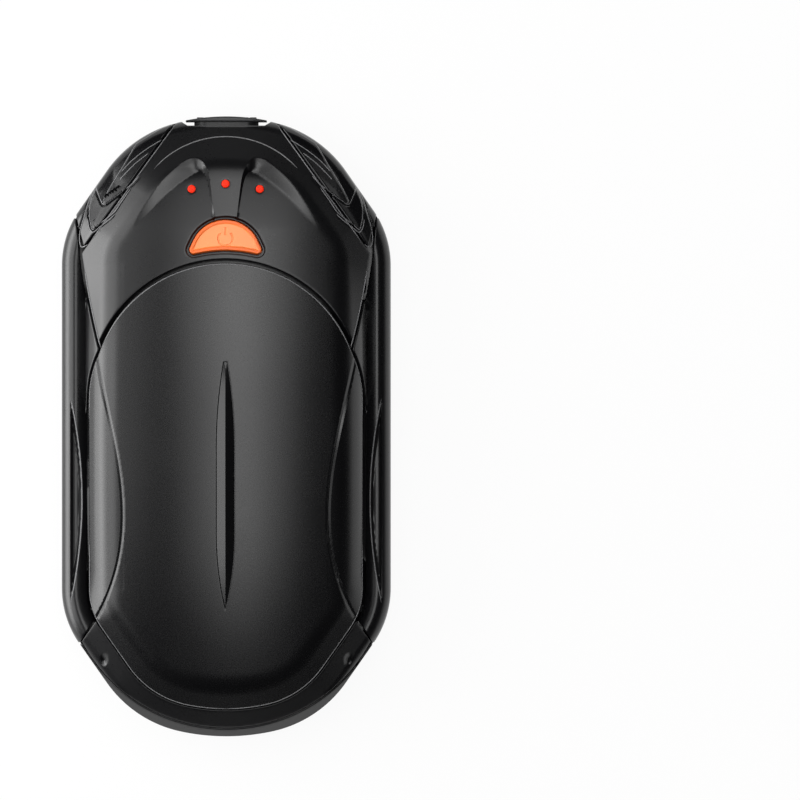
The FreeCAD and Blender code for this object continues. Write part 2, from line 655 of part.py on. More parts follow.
def back_housing():
    shell = outer(0).cut(outer(HOUSING_WALL))
    lower = shell.common(below(PARTING_HEIGHT - SEAM / 2))
    lip = outer(0).common(prism(tail_face(), PARTING_HEIGHT - SEAM))
    ribs = cell_ribs()
    towers = [rod(x, y, BOSS_RADIUS, BACK_PANEL_THICKNESS + BED_GAP, PARTING_HEIGHT - SEAM / 2)
              for x, y in SCREW_PLACES]
    posts = [rod(x, y, POST_RADIUS, HOUSING_WALL - BED_GAP, BOARD_BOTTOM) for x, y in board_post_places()]
    end_wall = port_block().common(below(PARTING_HEIGHT - SEAM / 2))
    solid = fused([lower, lip, end_wall] + towers + posts + ribs)
    bed = outer(POCKET_DEPTH)
    grips = [prism(grown(grip_face(side), SEAM), GRIP_LOW - SEAM).cut(bed) for side in (-1, 1)]
    pocket = prism(outline_face(BACK_PANEL_INSET - SEAM), -OVERRUN, BACK_PANEL_THICKNESS + BED_GAP)
    opening = prism(back_window(0), -OVERRUN, HOUSING_WALL + BED_GAP)
    cuts = grips + [pocket, opening.cut(fused(towers)), port_recess(), port_tunnel(), notch()]
    for x, y in SCREW_PLACES:
        cuts.append(rod(x, y, SCREW_RADIUS + SCREW_GAP, -OVERRUN, PARTING_HEIGHT + OVERRUN))
        cuts.append(rod(x, y, SCREW_HEAD_RADIUS + SCREW_GAP, -OVERRUN, BOSS_SEAT))
    pilot_end = BOARD_TOP - BOARD_SCREW_LENGTH - SCREW_TIP_GAP
    cuts += [rod(x, y, BOARD_SCREW_RADIUS + SCREW_BITE_GAP, pilot_end, BOARD_TOP)
             for x, y in board_post_places()]
    return fused([solid.cut(cuts)] + hinge_ears()).cut(hinge_bore())


def lens(ends, half_width):
    """Pointed lens along Y between two heights."""
    top, bottom = Vector(0, ends[0], 0), Vector(0, ends[1], 0)
    middle = (top.y + bottom.y) / 2
    return Part.Face(Part.Wire([arc(top, Vector(half_width, middle, 0), bottom),
                                arc(bottom, Vector(-half_width, middle, 0), top)]))


def crease(side):
    """Narrow bowed band on the panel, from its upper corner to the heel of the grip seam."""
    top, heel = place(PANEL_CORNER_SHARES, side), place(GRIP_HEEL_SHARES, side)
    bow = place(CREASE_BOW_SHARES, side)
    step = Vector(side * CREASE_WIDTH, 0, 0)
    return Part.Face(Part.Wire([arc(top, bow, heel), line(heel, heel + step),
                                arc(heel + step, bow + step, top + step), line(top + step, top)]))


def front_panel():
    cap = dome(0).cut(dome(TRIM_THICKNESS)).common(above(SHELF_HEIGHT + PANEL_LIFT))
    solid = cap.common(prism(panel_face()))
    ends = [share * BODY_HALF for share in SPINE_END_SHARES]
    steps = ((SPINE_HALF_WIDTH, SPINE_FOOT_HEIGHT), (SPINE_CREST_HALF_WIDTH, SPINE_HEIGHT))
    for half_width, height in steps:
        skin = dome(-height).cut(dome(TRIM_THICKNESS / 2))
        solid = solid.fuse(skin.common(prism(lens(ends, half_width), PARTING_HEIGHT)))
    groove_bed = dome(CREASE_DEPTH)
    for side in (-1, 1):
        solid = solid.cut(prism(crease(side)).cut(groove_bed))
    return solid.removeSplitter()


def trim_layer(inset):
    return outer(0).cut(outer(inset))


def side_grip(side):
    face = grip_face(side).cut(panel_face(SEAM)).cut(grown(guard_face(side), SEAM))
    solid = prism(face, GRIP_LOW).common(trim_layer(TRIM_THICKNESS))
    chord = side * (HALF_WIDTH - GROOVE_CHORD_INSET)
    ends = [Vector(chord, share * BODY_HALF, 0) for share in GROOVE_END_SHARES]
    bow = Vector(side * (HALF_WIDTH - GROOVE_BOW_INSET), (ends[0].y + ends[1].y) / 2, 0)
    groove = Part.Face(Part.Wire([arc(ends[0], bow, ends[1]), line(ends[1], ends[0])]))
    return solid.cut(prism(groove, PARTING_HEIGHT).cut(outer(GROOVE_DEPTH)))


def shoulder_guard(side):
    region = guard_face(side)
    column = prism(region, PARTING_HEIGHT + SEAM)
    solid = column.common(outer(0))
    inside_outline = prism(outline_face(0))
    raised = [(region, GUARD_HEIGHT)] + [(region.common(scale_face(side, scale)), height)
                                         for scale, height in reversed(list(enumerate(SCALE_HEIGHTS)))]
    for face, height in raised:
        plate = prism(face, PARTING_HEIGHT + SEAM).common(tray(-height)).common(inside_outline)
        solid = solid.fuse(plate)
    return solid.cut(outer(TRIM_THICKNESS)).removeSplitter()


def back_panel():
    return prism(outline_face(BACK_PANEL_INSET), 0, BACK_PANEL_THICKNESS)


def power_button():
    cap = button_column(0, BUTTON_FLANGE_TOP - BED_GAP, TOP_HEIGHT + OVERRUN).common(dome(-BUTTON_PROUD))
    flange = button_column(BUTTON_FLANGE, BUTTON_FLANGE_TOP - BUTTON_FLANGE_THICKNESS, BUTTON_FLANGE_TOP)
    stem = rod(0, BUTTON_CENTRE, BUTTON_STEM_RADIUS, PLUNGER_TOP, BUTTON_FLANGE_TOP)
    return fused([cap, flange, stem])


def switch_case():
    half = SWITCH_SIDE / 2
    top = BOARD_TOP + SWITCH_HEIGHT
    body = block(-half, half, BUTTON_CENTRE - half, BUTTON_CENTRE + half, BOARD_TOP, top)
    seat = top - PLUNGER_DEPTH - PRESS_TRAVEL - PLUNGER_GAP
    return body.cut(rod(0, BUTTON_CENTRE, PLUNGER_RADIUS + PLUNGER_GAP, seat, PLUNGER_TOP))


def switch_plunger():
    return rod(0, BUTTON_CENTRE, PLUNGER_RADIUS, BOARD_TOP + SWITCH_HEIGHT - PLUNGER_DEPTH, PLUNGER_TOP)


def light_pipe():
    """Three clear rods on one bar, moulded together."""
    skin = dome(-LAMP_PROUD)
    rods = [rod(x, y, LAMP_RADIUS, BOARD_TOP + LED_HEIGHT + LED_AIR, TOP_HEIGHT).common(skin)
            for x, y in LAMP_PLACES]
    proud = Vector(0, 0, LAMP_PROUD)
    rods = [r.cut([brow_cutter(side).translated(proud) for side in (-1, 1)]) for r in rods]
    low = min(y for x, y in LAMP_PLACES) - PIPE_BAR_HALF_WIDTH
    high = max(y for x, y in LAMP_PLACES) + PIPE_BAR_HALF_WIDTH
    half = LAMP_SPACING + PIPE_BAR_HALF_WIDTH
    bar = block(-half, half, low, high, PIPE_BAR_BOTTOM, PIPE_BAR_BOTTOM + PIPE_BAR_THICKNESS)
    return fused(rods + [bar])


def standing(x, y, length, width, height):
    """Box that stands on the board, centred at a place."""
    return block(x - length / 2, x + length / 2, y - width / 2, y + width / 2,
                 BOARD_TOP, BOARD_TOP + height)


def indicator_leds():
    return Part.makeCompound([standing(x, y, LED_LENGTH, LED_WIDTH, LED_HEIGHT) for x, y in LAMP_PLACES])


def circuit_board():
    solid = rounded_block(BOARD_HALF_WIDTH, BOARD_START, BOARD_END, BOARD_BOTTOM, BOARD_TOP, BOARD_CORNER)
    holes = [rod(x, y, BOARD_SCREW_RADIUS + SCREW_GAP, BOARD_BOTTOM - OVERRUN, BOARD_TOP + OVERRUN)
             for x, y in board_post_places()]
    return solid.cut(holes)


def on_board(shares, length, width, height):
    """Box that stands on the board, centred by shares of the board's half width and length."""
    y = BOARD_START + shares[1] * (BOARD_END - BOARD_START)
    return standing(shares[0] * BOARD_HALF_WIDTH, y, length, width, height)


def coil():
    body = on_board(COIL_PLACE_SHARES, COIL_SIDE, COIL_SIDE, COIL_HEIGHT)
    upright = [e for e in body.Edges if e.BoundBox.ZLength > COIL_HEIGHT / 2]
    return body.makeFillet(COIL_CORNER, upright)


def capacitors():
    return Part.makeCompound([on_board(shares, CAPACITOR_WIDTH, CAPACITOR_LENGTH, CAPACITOR_HEIGHT)
                              for shares in CAPACITOR_PLACE_SHARES])


def screw(x, y, seat, radius, length, head_radius, head_height, way):
    """Pan-head screw on its seat; way is 1 where it is driven upwards."""
    shank_bottom, shank_top = sorted((seat, seat + way * length))
    head_bottom, head_top = sorted((seat, seat - way * head_height))
    return rod(x, y, radius, shank_bottom, shank_top).fuse(rod(x, y, head_radius, head_bottom, head_top))


def housing_screws():
    return Part.makeCompound([screw(x, y, BOSS_SEAT, SCREW_RADIUS, SCREW_LENGTH, SCREW_HEAD_RADIUS,
                                    SCREW_HEAD_HEIGHT, 1) for x, y in SCREW_PLACES])


def board_screws():
    return Part.makeCompound([screw(x, y, BOARD_TOP, BOARD_SCREW_RADIUS, BOARD_SCREW_LENGTH,
                                    BOARD_SCREW_HEAD_RADIUS, BOARD_SCREW_HEAD_HEIGHT, -1)
                              for x, y in board_post_places()])


def socket_shell():
    outside = stadium(SOCKET_WIDTH, SOCKET_HEIGHT, SOCKET_BACK, SOCKET_MOUTH)
    inside = stadium(SOCKET_WIDTH - 2 * SOCKET_WALL, SOCKET_HEIGHT - 2 * SOCKET_WALL,
                     SOCKET_BACK + SOCKET_WALL, SOCKET_MOUTH + OVERRUN)
    return outside.cut(inside)


def socket_tongue():
    root = SOCKET_BACK + SOCKET_WALL
    half, thick = TONGUE_WIDTH / 2, TONGUE_THICKNESS / 2
    return block(-half, half, root, root + TONGUE_LENGTH, PORT_HEIGHT - thick, PORT_HEIGHT + thick)


def port_cover():
    """Lens-shaped lid with a plug below it and a hinge knuckle along its back edge."""
    tip_y = LID_BOTTOM + LID_TIP_HEIGHT
    left, right = Vector(-LID_HALF_WIDTH, tip_y, 0), Vector(LID_HALF_WIDTH, tip_y, 0)
    low_left, low_right = Vector(-LID_HALF_WIDTH, LID_BOTTOM, 0), Vector(LID_HALF_WIDTH, LID_BOTTOM, 0)
    lens_face = Part.Face(Part.Wire([arc(left, Vector(0, COVER_TOP, 0), right), line(right, low_right),
                                     line(low_right, low_left), line(low_left, left)]))
    back = HINGE_HEIGHT + KNUCKLE_RADIUS + EAR_GAP
    lid = prism(lens_face, back, LID_FRONT)
    corners = [e for e in lid.Edges
               if abs(abs(e.BoundBox.XMin) - LID_HALF_WIDTH) < SAME_PLACE
               and e.BoundBox.XLength < SAME_PLACE and e.BoundBox.YLength > LID_TIP_HEIGHT / 2]
    lid = lid.makeFillet(LID_CORNER, corners)
    plug = stadium(PLUG_WIDTH, PLUG_HEIGHT, NOTCH_FLAT - PLUG_DEPTH, LID_BOTTOM + BED_GAP)
    rim = [e for e in plug.Edges if abs(e.BoundBox.YMax - (NOTCH_FLAT - PLUG_DEPTH)) < SAME_PLACE]
    plug = plug.makeChamfer(PLUG_BEVEL, rim)
    knuckle = hinge_rod(KNUCKLE_RADIUS, KNUCKLE_HALF_LENGTH)
    web = block(-KNUCKLE_HALF_LENGTH, KNUCKLE_HALF_LENGTH, LID_BOTTOM, HINGE_LEVEL,
                HINGE_HEIGHT, back + BED_GAP)
    return fused([lid, plug, knuckle, web]).cut(hinge_bore())


def hinge_pin():
    return hinge_rod(HINGE_PIN_RADIUS, PIN_HALF_LENGTH)


def film_region():
    return panel_face(-PANEL_LEDGE - FILM_MARGIN)


def front_film():
    """Heating film under the front panel, with the screw towers' corners left free."""
    top = TRIM_THICKNESS + FILM_GAP
    sheet = dome(top).cut(dome(top + FILM_THICKNESS)).common(prism(film_region(), SHELF_HEIGHT))
    return sheet.cut([rod(x, y, BOSS_RADIUS + FILM_MARGIN, 0, TOP_HEIGHT) for x, y in SCREW_PLACES])


def foam_block(bottom, top):
    return rounded_block(FOAM_HALF_WIDTH, CELL_MIDDLE - FOAM_HALF_LENGTH, CELL_MIDDLE + FOAM_HALF_LENGTH,
                         bottom, top, FOAM_CORNER)


def thermistor_rod(radius, length):
    y = CELL_MIDDLE
    depth = TRIM_THICKNESS + 2 * FILM_GAP + FILM_THICKNESS
    crown = TOP_HEIGHT - depth - y ** 2 / (2 * CROWN_ALONG) - THERMISTOR_OFFSET ** 2 / (2 * CROWN_ACROSS)
    start = Vector(THERMISTOR_OFFSET, y - length / 2, crown - THERMISTOR_RADIUS - BED_GAP)
    return Part.makeCylinder(radius, length, start, Vector(0, 1, 0))


def thermistor():
    return thermistor_rod(THERMISTOR_RADIUS, THERMISTOR_LENGTH)


def front_foam():
    """Pad between the cells and the front film, cut to pass through the opening below the panel."""
    pad = foam_block(CELL_STACK_TOP + FILM_GAP, TOP_HEIGHT)
    pad = pad.common(dome(TRIM_THICKNESS + 2 * FILM_GAP + FILM_THICKNESS)).common(prism(film_region()))
    pocket = thermistor_rod(THERMISTOR_RADIUS + THERMISTOR_POCKET_GAP,
                            THERMISTOR_LENGTH + 2 * THERMISTOR_POCKET_GAP)
    slot = pocket.fuse(pocket.translated(Vector(0, 0, THERMISTOR_RADIUS)))
    return pad.cut(slot)


def back_film_bottom():
    return BACK_PANEL_THICKNESS + FILM_GAP


def back_film():
    """Heating film on the inner face of the back panel, clear of the screw towers."""
    sheet = prism(back_window(FILM_MARGIN), back_film_bottom(), back_film_bottom() + FILM_THICKNESS)
    return sheet.cut([rod(x, y, BOSS_RADIUS + FILM_MARGIN, 0, TOP_HEIGHT) for x, y in SCREW_PLACES])


def back_foam():
    """Pad between the back film and the cells, cut to pass through the opening in the floor."""
    pad = foam_block(back_film_bottom() + FILM_THICKNESS + FILM_GAP, CELL_BOTTOM - FILM_GAP)
    return pad.common(prism(back_window(FILM_MARGIN)))


def battery_cell(bottom):
    return rounded_block(CELL_HALF_WIDTH, CELL_BOTTOM_END, CELL_TOP_END,
                         bottom, bottom + CELL_THICKNESS, CELL_CORNER)


def protection_board():
    """Small board across the cells' tabs."""
    middle = (CELL_BOTTOM + CELL_STACK_TOP) / 2
    return block(-PROTECTION_BOARD_HALF_WIDTH, PROTECTION_BOARD_HALF_WIDTH, CELL_TOP_END + FILM_GAP,
                 CELL_TOP_END + FILM_GAP + PROTECTION_BOARD_THICKNESS,
                 middle - PROTECTION_BOARD_HEIGHT / 2, middle + PROTECTION_BOARD_HEIGHT / 2)


def battery_lead(side):
    """Wire from the protection board, out over the gap and down to a pad on the circuit board."""
    x = side * LEAD_SPACING
    start_y = CELL_TOP_END + FILM_GAP + PROTECTION_BOARD_THICKNESS
    start_z = (CELL_BOTTOM + CELL_STACK_TOP) / 2 + LEAD_RADIUS
    a = Vector(x, start_y, start_z)
    b = Vector(x, start_y + LEAD_EXIT_RUN, start_z)
    c = Vector(x, start_y + LEAD_EXIT_RUN, BOARD_TOP)
    bend = min(LEAD_EXIT_RUN, start_z - BOARD_TOP) / 2
    into, out = b - Vector(0, bend, 0), b - Vector(0, 0, bend)
    half = bend * math.sin(math.pi / 4)
    elbow = Vector(x, into.y + half, out.z + half)
    path = Part.Wire([line(a, into), arc(into, elbow, out), line(out, c)])
    section = Part.Wire(Part.makeCircle(LEAD_RADIUS, a, Vector(0, 1, 0)))
    return path.makePipeShell([section], True, False)


NODES = {
    "front_housing": front_housing,
    "back_housing": back_housing,
    "front_panel": front_panel,
    "back_panel": back_panel,
    "side_grip_left": lambda: side_grip(-1),
    "side_grip_right": lambda: side_grip(1),
    "shoulder_guard_left": lambda: shoulder_guard(-1),
    "shoulder_guard_right": lambda: shoulder_guard(1),
    "power_button": power_button,
    "switch_case": switch_case,
    "switch_plunger": switch_plunger,
    "light_pipe": light_pipe,
    "indicator_leds": indicator_leds,
    "circuit_board": circuit_board,
    "controller_chip": lambda: on_board(CHIP_PLACE_SHARES, CHIP_SIDE, CHIP_SIDE, CHIP_HEIGHT),
    "charger_chip": lambda: on_board(CHARGER_PLACE_SHARES, CHARGER_LENGTH, CHARGER_WIDTH, CHARGER_HEIGHT),
    "boost_coil": coil,
    "capacitors": capacitors,
    "socket_shell": socket_shell,
    "socket_tongue": socket_tongue,
    "port_cover": port_cover,
    "hinge_pin": hinge_pin,
    "front_heating_film": front_film,
    "back_heating_film": back_film,
    "front_foam_pad": front_foam,
    "back_foam_pad": back_foam,
    "thermistor": thermistor,
    "battery_cell_back": lambda: battery_cell(CELL_BOTTOM),
    "battery_cell_front": lambda: battery_cell(CELL_BOTTOM + CELL_THICKNESS + CELL_STACK_GAP),
    "protection_board": protection_board,
    "battery_lead_red": lambda: battery_lead(-1),
    "battery_lead_black": lambda: battery_lead(1),
    "housing_screws": housing_screws,
    "board_screws": board_screws,
}


def main():
    os.makedirs("parts", exist_ok=True)
    for name, make in NODES.items():
        shape = make()
        shape.translate(Vector(0, BODY_SHIFT, 0))
        shape.exportStep(f"parts/{name}.step")
        print(name, "solids", len(shape.Solids), "valid", shape.isValid(), "volume", round(shape.Volume, 2))


main()
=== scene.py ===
import math

import bpy
import numpy as np
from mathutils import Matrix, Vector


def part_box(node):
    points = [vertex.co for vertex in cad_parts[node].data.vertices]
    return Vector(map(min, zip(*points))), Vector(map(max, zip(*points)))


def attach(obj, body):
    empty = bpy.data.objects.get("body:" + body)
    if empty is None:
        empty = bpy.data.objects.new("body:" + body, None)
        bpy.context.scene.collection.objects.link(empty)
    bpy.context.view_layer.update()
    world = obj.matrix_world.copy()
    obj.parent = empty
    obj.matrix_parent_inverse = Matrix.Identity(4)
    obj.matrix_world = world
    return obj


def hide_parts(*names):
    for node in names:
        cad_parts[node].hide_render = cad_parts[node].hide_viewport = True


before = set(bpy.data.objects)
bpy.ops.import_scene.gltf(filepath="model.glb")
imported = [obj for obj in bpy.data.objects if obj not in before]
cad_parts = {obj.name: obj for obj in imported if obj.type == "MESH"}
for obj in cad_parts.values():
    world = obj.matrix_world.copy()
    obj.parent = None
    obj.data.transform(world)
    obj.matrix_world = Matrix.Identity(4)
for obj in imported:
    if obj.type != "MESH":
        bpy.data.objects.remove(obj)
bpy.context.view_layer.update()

# Back housing. The lower half of the shell, one black injection moulding with a fine satin grain.
# Its rounded back lies on the table, and its tail lip comes up at the lower end to close the front.
# Sizes are in millimetres from the middle of the body, and are turned to metres where a mesh is made.
MILLIMETRE = 0.001
BODY_SHIFT = (0.0, -0.05, 0.0)
OUTLINE_ARCS = ((11.8, 28.05, 16.8, 0.0, 35.0), (3.5923, 32.4476, 21.001, 35.0, 77.8),
                (0.0, 15.8325, 38.0, 77.8, 90.0))
BACK_ROUND, SHELF_ROUND, DOME_ROUND = 7.0, 3.0, 9.0
SHELF_HEIGHT, TOP_HEIGHT = 15.5, 26.0
DOME_INSET, FOOT_BLEND, ROLL_EASE = 4.2, 0.6, 0.3
CROWN_ACROSS, CROWN_ALONG = 70.0, 220.0
SEAM = 0.25
PARTING_HEIGHT = 11.0
GRIP_LOW = 6.5
POCKET_INSET = 7.35
NOTCH_FLAT = 52.3325
NOTCH_FOOT, NOTCH_LIP, NOTCH_FAR = (6.5, 52.3325), (7.6, 53.0825), (8.7, 55.8325)
PANEL_CORNER, GRIP_TOP, GRIP_BOW = (21.9648, 12.9575), (26.1976, 36.687), (24.596, 24.8168)
GRIP_HEEL, GRIP_END = (22.4796, -33.1339), (25.5112, -37.4136)
TAIL_END, TAIL_APEX = (22.8228, -41.128), (0.0, -52.4329)
LIP_FOOT, LIP_SLOPE = 12.2, 1.5
PORT_HEIGHT, PORT_HOLE, SOCKET_HOLE, PORT_FLOOR = 11.0, (5.8, 2.5), (4.67, 1.83), (6.4, 3.1)
FACE_HALF_WIDTH, FACE_BOTTOM, FACE_THICKNESS, FLOOR_THICKNESS = 8.2, 2.9, 1.25, 0.8
HINGE_LEVEL, HINGE_HEIGHT, KNUCKLE_RADIUS = 53.4625, 6.7, 0.47
EAR_ENDS, EAR_FOOT = ((-5.2, -4.0), (4.0, 5.2)), 52.1
EAR_ROUND, EAR_STEPS, ROUND_STEPS = 0.1, 17, 5
BACK_REACH, INNER_REACH, ROLL_START, ARC_STEPS = 14.0, 60.0, 0.33, 25
SLOPE_STEP, PROBE, TINY, FAR, TAIL_LIMIT = 0.1, 0.02, 1e-9, 9.0, -30.0
SNAP_ROUNDS, SNAP_REACH, STEEP_LIMIT, STRAY_LIMIT = 3, 0.5, 3.0, 0.8
EDGE_SHARE, SLIVER_SHARE, MIDDLE_SHARE = 0.1, 0.15, 0.05
RIM_STEPS, MITRE_LIMIT = 5, 1.6
BACK_FIELD, BACK_STEP, BACK_WALL, BACK_RIM = (-50.4, 50.4, -75.6, 75.6), 0.4, 1.6, 0.25
END_FIELD, SOCKET_FIELD, PORT_STEP, FINE_RIM = (-8.6, 8.6, 2.6, 11.4), (-6.6, 6.6, 7.6, 14.4), 0.2, 0.05
# The second grey here colours the raised hairlines: a painted highlight for light caught along edges, not a
# colour of the plastic.
SATIN_BLACK, PAINTED_HIGHLIGHT_GREY = ((0.0025, 0.0025, 0.003), 0.29, 3200, 1e-6), (0.15, 0.15, 0.154)
GRAIN_DETAIL, CLOUD_DETAIL, SPECK = 2, 4, 0.08
GRAIN_INPUTS = (("Place", "Vector"), ("Colour", "Color"), ("Roughness", "Float"), ("Grain scale", "Float"),
                ("Cloud scale", "Float"), ("Cloud share", "Float"))
GRAIN_RESULTS = (("Colour", "Color"), ("Roughness", "Float"), ("Height", "Float"))


def outline_inset(x, y):
    """Depth inside the outline and the way out of it: folded into one quarter, the least over the
    outline's arcs of radius minus the reach from the arc's centre along its nearest direction."""
    depths, turns = [], []
    for centre_x, centre_y, radius, start, stop in OUTLINE_ARCS:
        reach_x, reach_y = np.abs(x) - centre_x, np.abs(y) - centre_y
        turn = np.clip(np.arctan2(reach_y, reach_x), math.radians(start), math.radians(stop))
        depths.append(radius - reach_x * np.cos(turn) - reach_y * np.sin(turn))
        turns.append(turn)
    nearest = np.argmin(depths, axis=0)[None]
    depth = np.take_along_axis(np.array(depths), nearest, 0)[0]
    turn = np.take_along_axis(np.array(turns), nearest, 0)[0]
    return depth, np.sign(x) * np.cos(turn), np.sign(y) * np.sin(turn)


def crown_height(x, y, depth=0.0):
    """Torus over the front, at some depth below it: a circle across the body, swept along a larger circle
    down its length."""
    ring = CROWN_ALONG - CROWN_ACROSS + np.sqrt((CROWN_ACROSS - depth) ** 2 - x ** 2)
    return TOP_HEIGHT - CROWN_ALONG + np.sqrt(ring ** 2 - y ** 2)


def dome_height(x, y, inset, out_x, out_y):
    """Crown with its edge rolled over: a ball one radius inside the edge, its centre one radius below
    the crown, shapes the edge as far in as the point where it touches the crown. The drop starts gently."""
    move = DOME_ROUND - np.clip(inset - DOME_INSET, 0, DOME_ROUND)
    centre_x, centre_y = x - out_x * move, y - out_y * move
    centre = crown_height(centre_x, centre_y, DOME_ROUND)
    further = crown_height(centre_x + SLOPE_STEP * out_x, centre_y + SLOPE_STEP * out_y, DOME_ROUND)
    slope = (centre - further) / SLOPE_STEP
    crown = crown_height(x, y)
    drop = np.maximum(crown - centre - np.sqrt(DOME_ROUND ** 2 - move ** 2), 0)
    rolled = move > DOME_ROUND * slope / np.sqrt(1 + slope ** 2)
    return crown - np.where(rolled, drop ** 2 / (drop + ROLL_EASE), 0)


quarter = np.linspace(0, math.pi / 2, ARC_STEPS)
roll = np.linspace(ROLL_START, math.pi / 2, ARC_STEPS)
edge_inset = np.concatenate([[BACK_REACH], BACK_ROUND * (1 - np.sin(quarter)),
                             SHELF_ROUND * (1 - np.cos(quarter)),
                             DOME_INSET + DOME_ROUND * (1 - np.cos(roll)), [INNER_REACH]])
edge_rise = np.concatenate([[0.0], BACK_ROUND * (1 - np.cos(quarter)),
                            SHELF_HEIGHT - SHELF_ROUND * (1 - np.sin(quarter)),
                            SHELF_HEIGHT + DOME_ROUND * (np.sin(roll) - np.sin(roll[0]))])
edge_rise = np.append(edge_rise, edge_rise[-1])
edge_flat = np.append(0, np.cumsum(np.hypot(np.diff(edge_inset), np.diff(edge_rise))))
edge_flat += edge_inset[-1] - edge_flat[-1]
edge_height = np.minimum(edge_rise, SHELF_HEIGHT)
shelf_flat = edge_flat[2 * len(quarter)]


def skin(a, b):
    """Whole outer form on an unrolled plan: near the edge, distance on the plan is length along the
    edge profile (back round, wall, shelf round, shelf, dome roll), which gives the real inset and height.
    The dome's foot is blended into the shelf by a parabola."""
    flat, out_x, out_y = outline_inset(a, b)
    inset = np.interp(flat, edge_flat, edge_inset)
    x, y = a + out_x * (flat - inset), b + out_y * (flat - inset)
    height = np.interp(flat, edge_flat, edge_height)
    dome = dome_height(x, y, inset, out_x, out_y)
    lift = np.maximum(FOOT_BLEND - np.abs(height - dome), 0) ** 2 / (4 * FOOT_BLEND)
    return x, y, np.where(flat > shelf_flat, np.maximum(height, dome) + lift, height), inset


def circle_through(p, q, r):
    """Centre and radius of the circle through three points, from the two chords' middle lines."""
    (ax, ay), (bx, by), (cx, cy) = p, q, r
    twice = 2 * (ax * (by - cy) + bx * (cy - ay) + cx * (ay - by))
    sa, sb, sc = ax * ax + ay * ay, bx * bx + by * by, cx * cx + cy * cy
    x = (sa * (by - cy) + sb * (cy - ay) + sc * (ay - by)) / twice
    y = (sa * (cx - bx) + sb * (ax - cx) + sc * (bx - ax)) / twice
    return x, y, math.hypot(ax - x, ay - y)


def beyond(x, y, start, stop):
    """Distance to the left of the line from one point to another, on the folded plan."""
    length = math.hypot(stop[0] - start[0], stop[1] - start[1])
    way_x, way_y = (stop[0] - start[0]) / length, (stop[1] - start[1]) / length
    return way_x * (y - start[1]) - way_y * (np.abs(x) - start[0])


def from_circle(x, y, circle):
    """Distance outside a circle on the folded plan."""
    return np.hypot(np.abs(x) - circle[0], y - circle[1]) - circle[2]


grip_seam = circle_through(GRIP_TOP, GRIP_BOW, PANEL_CORNER)
tail_seam = circle_through(TAIL_END, TAIL_APEX, (-TAIL_END[0], TAIL_END[1]))


def grip_zone(x, y, z):
    """Below zero on a side grip: outside the head's seam, above the heel line and above its low edge."""
    sides = np.maximum(-from_circle(x, y, grip_seam), beyond(x, y, GRIP_END, GRIP_HEEL))
    return np.maximum(sides, GRIP_LOW - z)


def tail_zone(x, y):
    """Below zero on the tail lip, outside the tail seam's circle at the lower end."""
    return np.where(y < TAIL_LIMIT, -from_circle(x, y, tail_seam), FAR)


def notch_zone(x, y):
    """Above zero in the flat cut across the top end, with its slanted ends."""
    slants = np.minimum(beyond(x, y, NOTCH_FOOT, NOTCH_LIP), beyond(x, y, NOTCH_LIP, NOTCH_FAR))
    return np.minimum(y - NOTCH_FLAT, slants)


def ticks(low, high, step):
    """Even grid lines from one end past the other."""
    return np.arange(low, high + step, step)


def field(box, step):
    """Grid lines across and along a field, given by its left, right, lower and upper end."""
    left, right, low, high = box
    return ticks(left, right, step), ticks(low, high, step)


def cut_sheet(surface, region, across, along, lines=()):
    """Grid on a surface, trimmed to where the region is below zero. Grid points near a line or near the
    region's edge slide onto it along the slope of its distance, so edges come out smooth."""
    rows, columns = len(along), len(across)
    home_a, home_b = a, b = [grid.ravel() for grid in np.meshgrid(across, along)]
    step_a, step_b = [grid.ravel() for grid in np.meshgrid(np.gradient(across), np.gradient(along))]
    step = min(step_a.min(), step_b.min())
    for line in (*lines, region):
        near = None
        for _ in range(SNAP_ROUNDS):
            value = line(*surface(a, b))
            slope_a = (line(*surface(a + PROBE, b)) - line(*surface(a - PROBE, b))) / (2 * PROBE)
            slope_b = (line(*surface(a, b + PROBE)) - line(*surface(a, b - PROBE))) / (2 * PROBE)
            steep = slope_a ** 2 + slope_b ** 2 + TINY
            if near is None:
                reach = SNAP_REACH * np.hypot(slope_a * step_a, slope_b * step_b)
                near = (np.abs(value) < reach) & (steep < STEEP_LIMIT)
            a = a - np.where(near, value * slope_a / steep, 0)
            b = b - np.where(near, value * slope_b / steep, 0)
        strayed = np.hypot((a - home_a) / step_a, (b - home_b) / step_b) > STRAY_LIMIT
        a, b = np.where(strayed, home_a, a), np.where(strayed, home_b, b)
    level = region(*surface(a, b))
    inside = level < EDGE_SHARE * step
    number = np.arange(rows * columns).reshape(rows, columns)
    p, q = number[:-1, :-1].ravel(), number[:-1, 1:].ravel()
    r, s = number[1:, 1:].ravel(), number[1:, :-1].ravel()
    turned = (~inside[p] | ~inside[r])[:, None]
    first = np.where(turned, np.stack([p, q, s], 1), np.stack([p, q, r], 1))
    second = np.where(turned, np.stack([q, r, s], 1), np.stack([p, r, s], 1))
    triangles = np.concatenate([first, second])
    triangles = triangles[inside[triangles].all(1)]
    middle = region(*surface(a[triangles].mean(1), b[triangles].mean(1)))
    pa, pb = a[triangles], b[triangles]
    area = ((pa[:, 1] - pa[:, 0]) * (pb[:, 2] - pb[:, 0]) - (pa[:, 2] - pa[:, 0]) * (pb[:, 1] - pb[:, 0])) / 2
    sliver = (area < SLIVER_SHARE * step ** 2) & (level[triangles] > -EDGE_SHARE * step).all(1)
    triangles = triangles[(middle < MIDDLE_SHARE * step) & ~sliver]
    used, triangles = np.unique(triangles, return_inverse=True)
    return a[used], b[used], triangles.reshape(-1, 3)


def summed(corners, vectors, count):
    """Sum at each point of the vectors of all the faces or edges that it is a corner of."""
    spread = np.repeat(vectors, corners.shape[1], axis=0)
    return np.stack([np.bincount(corners.ravel(), part, count) for part in spread.T], 1)


